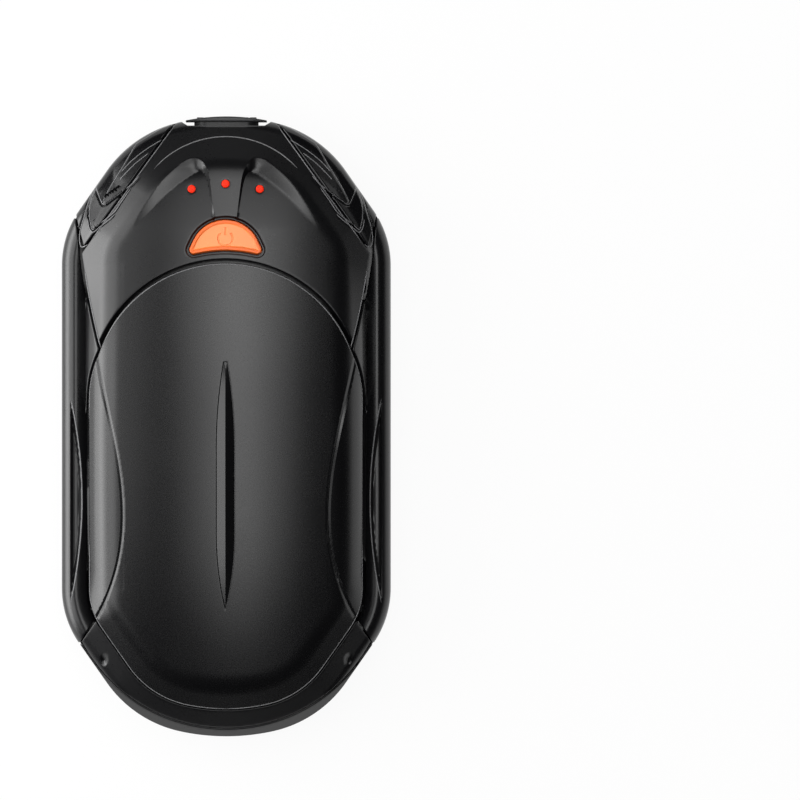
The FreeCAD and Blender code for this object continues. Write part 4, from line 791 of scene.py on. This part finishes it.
def spine_relief(x, y, z, inset):
    """Blade with straight flanks, its height fading towards the top and falling to a point below."""
    rise, fall = blade(y, SPINE_FULL)
    return SPINE_HEIGHT * rise * fall * np.clip(1 - np.abs(x) / (spine_half_width(y) + TINY), 0, 1)


def crease_distance(x, y, z, inset):
    """Distance beside the crease's curve, a quartic of the length, measured across its slope."""
    lean = np.polyval(np.polyder(crease_curve), y)
    return (np.abs(x) - np.polyval(crease_curve, y)) / np.sqrt(1 + lean ** 2)


def panel_relief(x, y, z, inset):
    """V groove along each bowed crease, and the collar's slope carried on over both ends."""
    groove = np.clip(1 - np.abs(crease_distance(x, y, z, inset)) / CREASE_HALF_WIDTH, 0, 1)
    return collar_rise(x, y, z, inset) - CREASE_DEPTH * groove * ((y < PANEL_CORNER[1]) & (y > GRIP_HEEL[1]))


outer_ticks = np.concatenate([np.linspace(*MIDDLE_TICKS), ticks(*SIDE_TICKS)])
panel_ticks = np.concatenate([-outer_ticks[::-1], np.linspace(*SPINE_TICKS), outer_ticks])
crease_lines = [lambda x, y, z, inset, d=d: crease_distance(x, y, z, inset) + d
                for d in (CREASE_HALF_WIDTH, -CREASE_HALF_WIDTH, 0)]
heat_panel = moulding(skin, panel_region, panel_ticks, ticks(*PANEL_ALONG), PANEL_WALL, PANEL_RIM,
                      lines=crease_lines, relief=panel_relief)
spine = moulding(skin, lambda x, y, z, inset: spine_zone(x, y) + BLADE_EDGE,
                 ticks(*BLADE_FIELD[:2], BLADE_STEPS[0]), ticks(*BLADE_FIELD[2:], BLADE_STEPS[1]),
                 BLADE_WALL, BLADE_RIM, lines=(lambda x, y, z, inset: x,), relief=spine_relief)
arc_run = top_arc(panel_arc, PANEL_CORNER[0], ARC_PLACES, EDGE_LINE)
bow_run = circle_side(panel_bow, np.linspace(PANEL_CORNER[1], PANEL_SIDE_Y, BOW_PLACES), EDGE_LINE)
around = [arc_points(centre_x, -centre_y, radius - PANEL_INSET - EDGE_LINE,
                     -np.radians(np.linspace(start, stop, ROUND_PLACES)))
          for centre_x, centre_y, radius, start, stop in OUTLINE_ARCS]
edge_run = np.concatenate([bow_run, *around])
# The panel's arc and edge lines are coloured grey as painted highlights along its edges.
panel_lines = [hairline(arc_run, LINE_RADIUS, panel_relief)]
panel_lines += [hairline(edge_run, EDGE_LINE_RADIUS, panel_relief, side) for side in (-1, 1)]
front_cover = piece("front_panel_cover", [heat_panel, spine], panel_black, crease=25, painted_highlights=panel_lines)
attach(front_cover, "housing")
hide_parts("front_panel")

# Side grips. Two black rails clipped over both shells along the sides, with a lens-shaped thumb groove
# and a shelf that drops towards the panel.
FALL_START, FALL_WIDTH, FALL_DEPTH = 2.1, 2.3, 0.85
FALL_TOP, FALL_FADE, FALL_POWER, FOOT_SLOPE = 1.0, 0.8, 1.5, 4.0
FLAT_END, FLAT_RUN = 8.0, 6.0
GROOVE_CHORD, GROOVE_BOW, GROOVE_DEPTH = 27.1, 25.0, 0.8
GROOVE_TOP, GROOVE_BOTTOM, GROOVE_WALL, GROOVE_LINE_END, GROOVE_PLACES = 5.4909, -31.0614, 0.6, 0.5, 70
GRIP_ACROSS, GRIP_ALONG, GRIP_WALL, GRIP_RIM = (18.0, 43.2, 0.14), (-46.8, 42.0, 0.3), 1.4, 0.2
groove_circle = circle_through((GROOVE_CHORD, GROOVE_TOP), (GROOVE_BOW, (GROOVE_TOP + GROOVE_BOTTOM) / 2),
                               (GROOVE_CHORD, GROOVE_BOTTOM))
# Black grip plastic; its hairlines take the grey painted highlight.
grip_black = finish("grip_black_plastic", *SATIN_BLACK, second=PAINTED_HIGHLIGHT_GREY)


def grip_region(x, y, z, inset):
    """Grip: inside its own zone, clear of the panel and of the guard by one seam."""
    others = np.minimum(panel_zone(x, y, inset), guard_zone(x, y))
    return np.maximum(grip_zone(x, y, z), SEAM - others) + GRIP_RIM


def shelf_fall(x, y, z, inset):
    """Shelf that falls away towards the panel, down to a channel beside it. Along the panel it runs on flat
    where the outer form would rise to the dome."""
    sink = np.maximum(z - SHELF_HEIGHT, 0) * np.clip((FLAT_END - y) / FLAT_RUN, 0, 1)
    low = np.clip((SHELF_HEIGHT + FALL_TOP - z + sink) / FALL_FADE, 0, 1)
    fall = np.clip((inset - FALL_START) / FALL_WIDTH, 0, 1) * low
    return -sink - FALL_DEPTH * fall ** FALL_POWER


def dome_foot(x, y, z, inset):
    """About the distance inside the line where the dome rises from the shelf: its height over a slope."""
    return (dome_height(x, y, *outline_inset(x, y)) - SHELF_HEIGHT) / FOOT_SLOPE


def groove_edge(x, y, z, inset):
    """Below zero on the lens groove, between its inner arc and the straight chord at the grip's outer side."""
    return np.maximum(from_circle(x, y, groove_circle), np.abs(x) - GROOVE_CHORD)


def grip_relief(x, y, z, inset):
    """Lens groove with a soft wall, and a shelf that falls away towards the panel."""
    groove = np.clip(-groove_edge(x, y, z, inset) / GROOVE_WALL, 0, 1)
    return shelf_fall(x, y, z, inset) - GROOVE_DEPTH * groove ** 2 * (3 - 2 * groove) * (z > PARTING_HEIGHT)


def one_side(side, near, far, step):
    """Grid lines from left to right over one side of the body."""
    return ticks(*sorted((side * near, side * far)), step)


groove_y = np.linspace(GROOVE_TOP - GROOVE_LINE_END, GROOVE_BOTTOM + GROOVE_LINE_END, GROOVE_PLACES)
groove_run = circle_side(groove_circle, groove_y, side=-1)
for side, word in ((-1, "left"), (1, "right")):
    rail = moulding(skin, grip_region, one_side(side, *GRIP_ACROSS), ticks(*GRIP_ALONG), GRIP_WALL, GRIP_RIM,
                    lines=(dome_foot, groove_edge), relief=grip_relief)
    # The groove's hairline is coloured grey as a painted highlight along its edge.
    grip = piece(f"side_grip_{word}_rail", [rail], grip_black,
                 painted_highlights=[hairline(groove_run, LINE_RADIUS, shelf_fall, side)])
    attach(grip, "housing")
    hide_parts(f"side_grip_{word}")

# Shoulder guards. Glossy black corner pieces glued on the shoulders: overlapping pointed scales, each
# with a fine raised line along its edge, moulded in one. The raised lines are coloured grey as painted
# highlights.
CREST = ((15.53, 49.3), (18.19, 44.72), (20.02, 41.73), (21.35, 39.1))
CREST_AWAY = ((20.6, 38.0), (12.0, 42.0), (8.0, 54.0))
FIRST_SCALE = ((15.0, 43.5), (15.7, 42.73), (16.53, 41.89), (18.5, 40.45), (20.52, 38.98), (21.1, 38.65),
               (21.52, 38.9), (22.19, 40.4), (22.65, 41.73))
SECOND_SCALE = ((16.4, 41.45), (17.03, 40.56), (18.19, 38.9), (19.19, 37.4), (20.52, 36.24), (22.19, 34.99),
                (23.1, 34.24), (23.44, 35.07), (23.69, 36.74), (23.65, 38.4), (23.19, 40.06), (22.77, 41.23))
THIRD_SCALE = ((24.0, 31.6), (25.1, 31.24), (25.43, 32.58), (25.27, 34.24), (24.68, 36.4), (24.02, 38.57),
               (23.1, 41.06))
FIRST_FOLD = ((11.2, 49.8), (14.0, 48.05), (16.5, 46.05), (18.1, 44.3))
SECOND_FOLD = ((13.4, 47.5), (15.7, 45.7), (17.5, 43.9), (18.4, 42.9))
SECOND_LINE = ((19.19, 36.9), (20.19, 35.95), (22.0, 34.55), (23.1, 33.75), (23.75, 34.6), (24.0, 36.0))
SCALE_AWAY = ((24.5, 46.0), (24.5, 60.0), (5.0, 60.0), (5.0, 48.0))
SCALE_STEPS, CREST_STEP, SCALE_REACH = (0.35, 0.35, 0.25), 0.18, 4.0
STEP_WIDTH, STEP_TILT, STEP_GROOVE, STEP_GROOVE_HALF = 0.12, 0.06, 0.22, 0.2
GUARD_LINE, GUARD_FOOT, GUARD_FADE = 0.085, 12.0, 1.5
SCALE_PLACES, CREST_PLACES, FINE_PLACES = 5, 6, 12
GUARD_ACROSS, GUARD_ALONG, GUARD_WALL, GUARD_RIM = (7.0, 34.4, 0.12), (29.4, 60.0, 0.12), 1.3, 0.2
GLOSS_BLACK = (0.0025, 0.0025, 0.003), 0.2, 2600, 6e-7
# Glossy black guard plastic; its hairlines take the grey painted highlight.
guard_black = finish("guard_black_gloss", *GLOSS_BLACK, second=PAINTED_HIGHLIGHT_GREY)
scale_loops = [np.concatenate([smooth_run(run, SCALE_PLACES), SCALE_AWAY])
               for run in (FIRST_SCALE, SECOND_SCALE, THIRD_SCALE)]
crest_loop = np.concatenate([smooth_run(CREST, CREST_PLACES), CREST_AWAY])


def scale_edge(x, y, scale):
    """Below zero above the lower edge of one scale."""
    return loop_distance(np.abs(x), y, scale_loops[scale])


def guard_region(x, y, z, inset):
    """Guard: on its own zone, above the parting line and beside the notch."""
    return np.maximum.reduce([guard_zone(x, y), PARTING_HEIGHT + SEAM - z, notch_zone(x, y)]) + GUARD_RIM


def guard_relief(x, y, z, inset):
    """Scales one over the other, each highest at its edge and sinking behind it, with a groove before the
    edge, and the crest's step on the topmost one."""
    height = collar_rise(x, y, z, inset)
    for scale, step in enumerate(SCALE_STEPS):
        away = scale_edge(x, y, scale)
        height = height + step * np.clip(-away / STEP_WIDTH, 0, 1) - STEP_TILT * np.clip(-away, 0, SCALE_REACH)
        height = height - STEP_GROOVE * np.clip(1 - np.abs(away / STEP_GROOVE_HALF - 1), 0, 1)
    crest = np.maximum(loop_distance(np.abs(x), y, crest_loop), scale_edge(x, y, 0))
    height = height + CREST_STEP * np.clip(-crest / STEP_WIDTH, 0, 1)
    return height * np.clip((z - GUARD_FOOT) / GUARD_FADE, 0, 1)


scale_lines = [lambda x, y, z, inset, s=s, d=d: scale_edge(x, y, s) + d
               for s in range(len(scale_loops)) for d in (STEP_WIDTH, 0)]
for side, word in ((-1, "left"), (1, "right")):
    scales = moulding(skin, guard_region, one_side(side, *GUARD_ACROSS), ticks(*GUARD_ALONG), GUARD_WALL,
                      GUARD_RIM, lines=scale_lines, relief=guard_relief)
    # Fine lines along the scale edges, coloured grey as painted highlights.
    fine_lines = [hairline(smooth_run(run, FINE_PLACES), GUARD_LINE, guard_relief, side)
                  for run in (CREST, FIRST_SCALE, SECOND_SCALE, THIRD_SCALE, SECOND_LINE, FIRST_FOLD,
                              SECOND_FOLD)]
    guard = piece(f"shoulder_guard_{word}_scales", [scales], guard_black, crease=25, painted_highlights=fine_lines)
    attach(guard, "housing")
    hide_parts(f"shoulder_guard_{word}")

# Power button. An orange half moon in satin plastic with a raised rim and a sunk on-off sign,
# on a flange below the shell and a stem that meets the switch. Its rim is painted a deeper orange as
# painted shade and its face a paler orange as painted sheen.
BUTTON_PROUD, BUTTON_FLANGE = 0.35, 0.8
FLANGE_TOP, FLANGE_THICKNESS = 20.1198, 1.0
STEM_RADIUS, STEM_FOOT, STEM_ROUND, BUTTON_MIDDLE, CIRCLE_PLACES = 1.6, 14.3, 0.2, 32.9036, 48
SIGN_PLACE, SIGN_RADIUS, SIGN_HALF_LINE, SIGN_DEPTH = (0.0, 32.6), 1.25, 0.17, 0.15
SIGN_OPENING, SIGN_HALF_BAR, SIGN_SLOPE = 0.75, 0.7, 0.1
RIM_WIDTH, RIM_SLOPE, RIM_HEIGHT = 0.45, 0.25, 0.2
CAP_FIELD, CAP_STEP, CAP_WALL, CAP_RIM = (-6.72, 6.72, 29.28, 36.48), 0.08, 4.2, 0.12
FLANGE_FIELD, FLANGE_STEP, FLANGE_RIM = (-7.2, 7.2, 28.8, 37.2), 0.2, 0.1
# One orange plastic in two tones: the deeper rim orange is painted shade, the paler face orange painted sheen.
SHADED_RIM_ORANGE, SHEEN_FACE_ORANGE = ((0.8, 0.13, 0.01), 0.4, 2600, 8e-7), (1.0, 0.28, 0.085)
FAINT_CLOUD = 0.05
button_orange = finish("button_orange_plastic", *SHADED_RIM_ORANGE, cloud_share=FAINT_CLOUD, second=SHEEN_FACE_ORANGE)


def button_face(a, b):
    """The crown carried on over the button, standing proud of the shell."""
    return a, b, crown_height(a, b) + BUTTON_PROUD, a * 0


def sign_zone(x, y):
    """Below zero on the on-off sign: a ring that is open at the top, and a short upright bar."""
    over_x, over_y = x - SIGN_PLACE[0], y - SIGN_PLACE[1]
    ring = np.abs(np.hypot(over_x, over_y) - SIGN_RADIUS) - SIGN_HALF_LINE
    ring = np.maximum(ring, over_y - SIGN_OPENING * SIGN_RADIUS)
    bar = np.maximum(np.abs(over_x) - SIGN_HALF_LINE, np.abs(over_y - SIGN_RADIUS) - SIGN_HALF_BAR)
    return np.minimum(ring, bar)


def face_share(x, y):
    """Zero on the raised rim, one on the face inside it."""
    return np.clip((-button_zone(x, y) - RIM_WIDTH) / RIM_SLOPE, 0, 1)


def button_relief(x, y, z, inset):
    """Face sunk below a raised rim by a short slope, and the sign sunk into the face."""
    face = face_share(x, y)
    sign = np.clip(-sign_zone(x, y) / SIGN_SLOPE, 0, 1)
    return -RIM_HEIGHT * face * (3 - 2 * face) * face - SIGN_DEPTH * sign


def round_loop(x, y, radius, half_x=0.0, half_y=0.0):
    """Circle of a radius less the inset, round one point, pulled apart to a bar with rounded corners by the
    half lengths of its straight runs."""
    turn = np.linspace(0, 2 * math.pi, CIRCLE_PLACES, endpoint=False)
    apart = np.stack([np.sign(np.cos(turn)) * half_x, np.sign(np.sin(turn)) * half_y], 1)
    return lambda inset: arc_points(x, y, radius - inset, turn) + apart


def flange_plane(a, b):
    """Flat top of the flange, below the shell's wall."""
    return a, b, np.full_like(a, FLANGE_TOP), a * 0


cap_lines = [lambda x, y, z, inset, d=d: sign_zone(x, y) + d for d in (0, SIGN_SLOPE)]
cap_lines += [lambda x, y, z, inset, d=d: button_zone(x, y) + d for d in (RIM_WIDTH, RIM_WIDTH + RIM_SLOPE)]
cap = moulding(button_face, lambda x, y, z, inset: button_zone(x, y) + CAP_RIM, *field(CAP_FIELD, CAP_STEP),
               CAP_WALL, CAP_RIM, lines=cap_lines, relief=button_relief)
flange = moulding(flange_plane, lambda x, y, z, inset: button_zone(x, y) - BUTTON_FLANGE + FLANGE_RIM,
                  *field(FLANGE_FIELD, FLANGE_STEP), FLANGE_THICKNESS, FLANGE_RIM)
stem = drum(round_loop(0, BUTTON_MIDDLE, STEM_RADIUS),
            rounded_levels(STEM_FOOT, FLANGE_TOP - STEM_ROUND, STEM_ROUND))
button = piece("power_button_cap", [cap, flange, stem], button_orange, crease=30)
# The face's share takes the paler painted-sheen orange, the rim keeps the deeper painted-shade orange.
cap_x, cap_y = np.concatenate([part[0] for part in (cap, flange, stem)])[:, :2].T
sheen_face_shares = face_share(cap_x, cap_y).astype(np.float32)
button.data.attributes["share"].data.foreach_set("value", sheen_face_shares)
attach(button, "power_button")
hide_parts("power_button")

# Light pipe. Three clear red rods moulded on one bar, which carry the board's light to the head's
# three round windows.
PIPE_FOOT, PIPE_EDGE, PIPE_BAR_LOW, PIPE_BAR_HIGH = 11.6, 0.05, 12.4, 13.6
BAR_CORNER, BAR_ROUND, LENS_RISE, LENS_TURN, LENS_STEPS = 1.0, 0.15, 0.15, 1.5, 7
CLEAR_RED, RED_GLOW = ((0.75, 0.02, 0.002), 0.5, 1500, 4e-7), (1.0, 0.03, 0.001, 1)
LAMP_SHINE, LAMP_STRENGTH = 0.2, 0.12
lamp_red = finish("lamp_red_clear", *CLEAR_RED, cloud_share=FAINT_CLOUD, Specular_IOR_Level=LAMP_SHINE,
                  Emission_Color=RED_GLOW, Emission_Strength=LAMP_STRENGTH)
pipe_low, pipe_high = [np.array(corner) / MILLIMETRE - BODY_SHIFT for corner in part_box("light_pipe")]
rods = []
for lamp_x, lamp_y in LAMPS:
    at_x, at_y = np.array([lamp_x]), np.array([lamp_y])
    top = (on_top(at_x, at_y)[2] + brow_relief(at_x, at_y, 0, 0))[0]
    lens = [(LAMP_RADIUS * (1 - math.cos(t)), top + LENS_RISE * math.sin(t))
            for t in np.linspace(0, LENS_TURN, LENS_STEPS)]
    rods.append(drum(round_loop(lamp_x, lamp_y, LAMP_RADIUS),
                     [(PIPE_EDGE, PIPE_FOOT), (0.0, PIPE_FOOT + PIPE_EDGE), *lens]))
bar = drum(round_loop(0, (pipe_high[1] + pipe_low[1]) / 2, BAR_CORNER, pipe_high[0] - BAR_CORNER,
                      (pipe_high[1] - pipe_low[1]) / 2 - BAR_CORNER),
           rounded_levels(PIPE_BAR_LOW, PIPE_BAR_HIGH, BAR_ROUND))
pipe = piece("light_pipe_rods", [*rods, bar], lamp_red)
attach(pipe, "housing")
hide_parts("light_pipe")

# Port cover. A soft black rubber lid, lens-shaped from the front, that swings on a pin over the
# charging socket and plugs its mouth.
LID_HALF_WIDTH, LID_BOTTOM, LID_TOP, LID_TIP = 7.03, 52.9925, 53.9325, 0.25
LID_BACK, LID_FRONT, LID_ROUND, LID_LEAST, LID_PLACES = 7.37, 14.4, 0.3, 0.02, 41
KNUCKLE_HALF_LENGTH = 3.8
PLUG_HALF_WIDTH, PLUG_HALF_HEIGHT, PLUG_END, PLUG_CHAMFER, PLUG_SINK = 5.6, 2.3, 51.3325, 0.5, 0.1
RUBBER_BLACK = (0.014, 0.014, 0.015), 0.42, 2200, 1.4e-6
cover_rubber = finish("cover_black_rubber", *RUBBER_BLACK)
lid_arc = circle_through((-LID_HALF_WIDTH, LID_BOTTOM + LID_TIP), (0.0, LID_TOP),
                         (LID_HALF_WIDTH, LID_BOTTOM + LID_TIP))


def lid_loop(inset):
    """Lens of the lid: flat below, one low arc above, blunt tips."""
    x = np.linspace(-1, 1, LID_PLACES) * (LID_HALF_WIDTH - inset)
    top = lid_arc[1] + np.sqrt((lid_arc[2] - inset) ** 2 - x ** 2)
    bottom = np.full_like(x, LID_BOTTOM + inset)
    top = np.maximum(top, bottom + LID_LEAST)
    return np.concatenate([np.stack([x, bottom], 1), np.stack([x, top], 1)[::-1]])


def lengthwise(points):
    """Turns a stack so that its height runs along the body, from the plug's end outwards."""
    return np.stack([-points[:, 0], points[:, 2], points[:, 1]], 1)


lid = drum(lid_loop, rounded_levels(LID_BACK, LID_FRONT, LID_ROUND))
plug = drum(round_loop(0, PORT_HEIGHT, PLUG_HALF_HEIGHT, PLUG_HALF_WIDTH - PLUG_HALF_HEIGHT),
            [(PLUG_CHAMFER, PLUG_END), (0.0, PLUG_END + PLUG_CHAMFER), (0.0, LID_BOTTOM + PLUG_SINK)],
            lengthwise)
knuckle = drum(round_loop(HINGE_LEVEL, HINGE_HEIGHT, KNUCKLE_RADIUS),
               rounded_levels(-KNUCKLE_HALF_LENGTH, KNUCKLE_HALF_LENGTH, EAR_ROUND), crosswise)
cover = piece("port_cover_lid", [lid, plug, knuckle], cover_rubber)
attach(cover, "port_cover")
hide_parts("port_cover")

# Inner parts. The cells, boards, socket, switch, films, pads, leads and screws keep their own solids, each
# with the finish of its real material. A row holds the nodes, the finish's name, colour, roughness, grains
# and their depth, then its clouds and its other sockets.
METAL, BOARD_CLOUD, FILM_CLOUD, FOIL_CLOUD = {"Metallic": 1.0}, (250, 0.3), (180, 0.3), (120, 0.1)
INNER_FINISHES = (
    ("housing_screws board_screws hinge_pin", "screw_zinc_steel", (0.55, 0.55, 0.57), 0.3, 1800, 1e-6,
     (), METAL),
    ("socket_shell", "socket_nickel_steel", (0.62, 0.61, 0.59), 0.25, 2200, 8e-7, (), METAL),
    ("socket_tongue", "tongue_black_nylon", (0.02, 0.02, 0.022), 0.5, 2500, 1.5e-6, (), {}),
    ("switch_case", "switch_black_nylon", (0.018, 0.018, 0.02), 0.5, 2500, 1.5e-6, (), {}),
    ("switch_plunger", "plunger_white_nylon", (0.8, 0.79, 0.76), 0.45, 2500, 1e-6, (), {}),
    ("circuit_board protection_board", "board_green_mask", (0.012, 0.09, 0.03), 0.28, 900, 2e-6,
     BOARD_CLOUD, {}),
    ("controller_chip charger_chip", "chip_black_epoxy", (0.02, 0.02, 0.022), 0.55, 4000, 2e-6, (), {}),
    ("boost_coil", "coil_grey_ferrite", (0.11, 0.11, 0.12), 0.6, 3000, 4e-6, (), {}),
    ("capacitors", "capacitor_tan_ceramic", (0.42, 0.28, 0.16), 0.45, 3000, 2e-6, (), {}),
    ("indicator_leds", "led_white_resin", (0.85, 0.82, 0.7), 0.3, 2500, 1e-6, (), {}),
    ("front_heating_film back_heating_film", "film_amber_polyimide", (0.5, 0.2, 0.03), 0.3, 1200, 1e-6,
     FILM_CLOUD, {}),
    ("front_foam_pad back_foam_pad", "foam_grey_sponge", (0.16, 0.16, 0.17), 0.95, 1100, 1.2e-4, (), {}),
    ("thermistor", "bead_black_epoxy", (0.015, 0.015, 0.016), 0.35, 2500, 2e-6, (), {}),
    ("battery_cell_back battery_cell_front", "cell_silver_foil", (0.72, 0.73, 0.75), 0.34, 700, 6e-6,
     FOIL_CLOUD, METAL),
    ("battery_lead_red", "lead_red_silicone", (0.5, 0.02, 0.015), 0.5, 2500, 2e-6, (), {}),
    ("battery_lead_black", "lead_black_silicone", (0.015, 0.015, 0.015), 0.5, 2500, 2e-6, (), {}),
)
for nodes, name, colour, roughness, grain_scale, grain_depth, clouds, sockets in INNER_FINISHES:
    material = finish(name, colour, roughness, grain_scale, grain_depth, *clouds, **sockets)
    for node in nodes.split():
        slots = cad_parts[node].data.materials
        slots.clear()
        slots.append(material)

# Studio. A pale seamless paper floor, soft boxes above the body and its head, tall boxes and a low strip to
# the left, a dim strip to the right and a fill that gives no highlight. The camera looks straight down.
FLOOR_HALF, FLOOR_LEVEL, FLOOR_GREY, FLOOR_GLOW, WORLD_STRENGTH = 3.0, -0.0002, 0.8, 0.93, 0.03
CAMERA_LENS, SENSOR_WIDTH, FRAME_WIDTH, CAMERA_PLANE, CLIP_END = 600.0, 36.0, 0.13913, 0.012, 20.0
CAMERA_X, CAMERA_Y = 0.0302, 0.0046
BODY_MIDDLE, LOW_MIDDLE, LAMP_UPWARD = (0.0, 0.0, 0.02), (0.0, 0.005, 0.017), (0, 1, 0.001)
SOFT_BOXES = (("top_core", (0.03, 0.02, 0.62), BODY_MIDDLE, (0.15, 0.48), 2.0),
              ("top_wide", (0.03, 0.04, 0.63), BODY_MIDDLE, (0.36, 0.47), 1.4),
              ("top_upper", (0.03, 0.16, 0.61), BODY_MIDDLE, (0.4, 0.16), 0.8),
              ("head_box", (0.03, 0.36, 0.54), BODY_MIDDLE, (0.4, 0.3), 1.9),
              ("left_strip", (-0.6, 0.09, 0.13), BODY_MIDDLE, (0.26, 0.74), 4.2),
              ("left_low", (-0.078, 0.005, 0.017), LOW_MIDDLE, (0.032, 0.13), 3.5),
              ("left_box", (-0.53, 0.09, 0.41), BODY_MIDDLE, (0.3, 0.74), 3.4),
              ("left_top", (-0.36, 0.13, 0.56), BODY_MIDDLE, (0.2, 0.6), 1.0),
              ("right_strip", (0.7, 0.0, 0.06), BODY_MIDDLE, (0.12, 0.9), 0.4),
              ("fill", (0.0, -0.2, 1.2), BODY_MIDDLE, (1.0, 1.0), 1.6))
floor_mesh = bpy.data.meshes.new("floor")
floor_mesh.from_pydata([(side_x * FLOOR_HALF, side_y * FLOOR_HALF, FLOOR_LEVEL)
                        for side_x, side_y in ((-1, -1), (1, -1), (1, 1), (-1, 1))], [], [(0, 1, 2, 3)])
floor = bpy.data.objects.new("floor", floor_mesh)
bpy.context.scene.collection.objects.link(floor)
paper = bpy.data.materials.new("floor_paper")
paper.use_nodes = True
tree = paper.node_tree
tree.nodes.remove(tree.nodes["Principled BSDF"])
rays = tree.nodes.new("ShaderNodeLightPath").outputs
seen = maths(tree, "ADD", rays["Is Camera Ray"], rays["Is Glossy Ray"])
seen = maths(tree, "MULTIPLY", maths(tree, "ADD", seen, rays["Is Transmission Ray"]), FLOOR_GLOW)
matte = add_node(tree, "ShaderNodeBsdfDiffuse", [("Color", (FLOOR_GREY, FLOOR_GREY, FLOOR_GREY, 1))])
glow = add_node(tree, "ShaderNodeEmission", [("Strength", 1.0)])
both = add_node(tree, "ShaderNodeMixShader", [(0, seen), (1, matte.outputs[0]), (2, glow.outputs[0])])
tree.links.new(both.outputs[0], tree.nodes["Material Output"].inputs["Surface"])
floor_mesh.materials.append(paper)

world = bpy.data.worlds.new("studio")
world.use_nodes = True
world.node_tree.nodes["Background"].inputs["Color"].default_value = (1, 1, 1, 1)
world.node_tree.nodes["Background"].inputs["Strength"].default_value = WORLD_STRENGTH
bpy.context.scene.world = world


for name, place, target, size, radiance in SOFT_BOXES:
    light = bpy.data.lights.new(name, "AREA")
    light.shape = "RECTANGLE"
    light.size, light.size_y = size
    light.energy = radiance * math.pi * size[0] * size[1]
    box = bpy.data.objects.new(name, light)
    bpy.context.scene.collection.objects.link(box)
    aim = np.subtract(target, place) / np.linalg.norm(np.subtract(target, place))
    aside = np.cross(aim, LAMP_UPWARD)
    aside /= np.linalg.norm(aside)
    turn = np.eye(4)
    turn[:3, 0], turn[:3, 1], turn[:3, 2], turn[:3, 3] = aside, np.cross(aside, aim), -aim, place
    box.matrix_world = turn.T.tolist()
    box.visible_camera = False
    box.visible_glossy = name != "fill"

bpy.context.scene.view_settings.view_transform = "Standard"
camera = bpy.data.cameras.new("camera")
camera.lens, camera.sensor_width = CAMERA_LENS, SENSOR_WIDTH
viewpoint = bpy.data.objects.new("camera", camera)
viewpoint.location = (CAMERA_X, CAMERA_Y, CAMERA_PLANE + FRAME_WIDTH * CAMERA_LENS / SENSOR_WIDTH)
camera.clip_end = CLIP_END
bpy.context.scene.collection.objects.link(viewpoint)
bpy.context.scene.camera = viewpoint
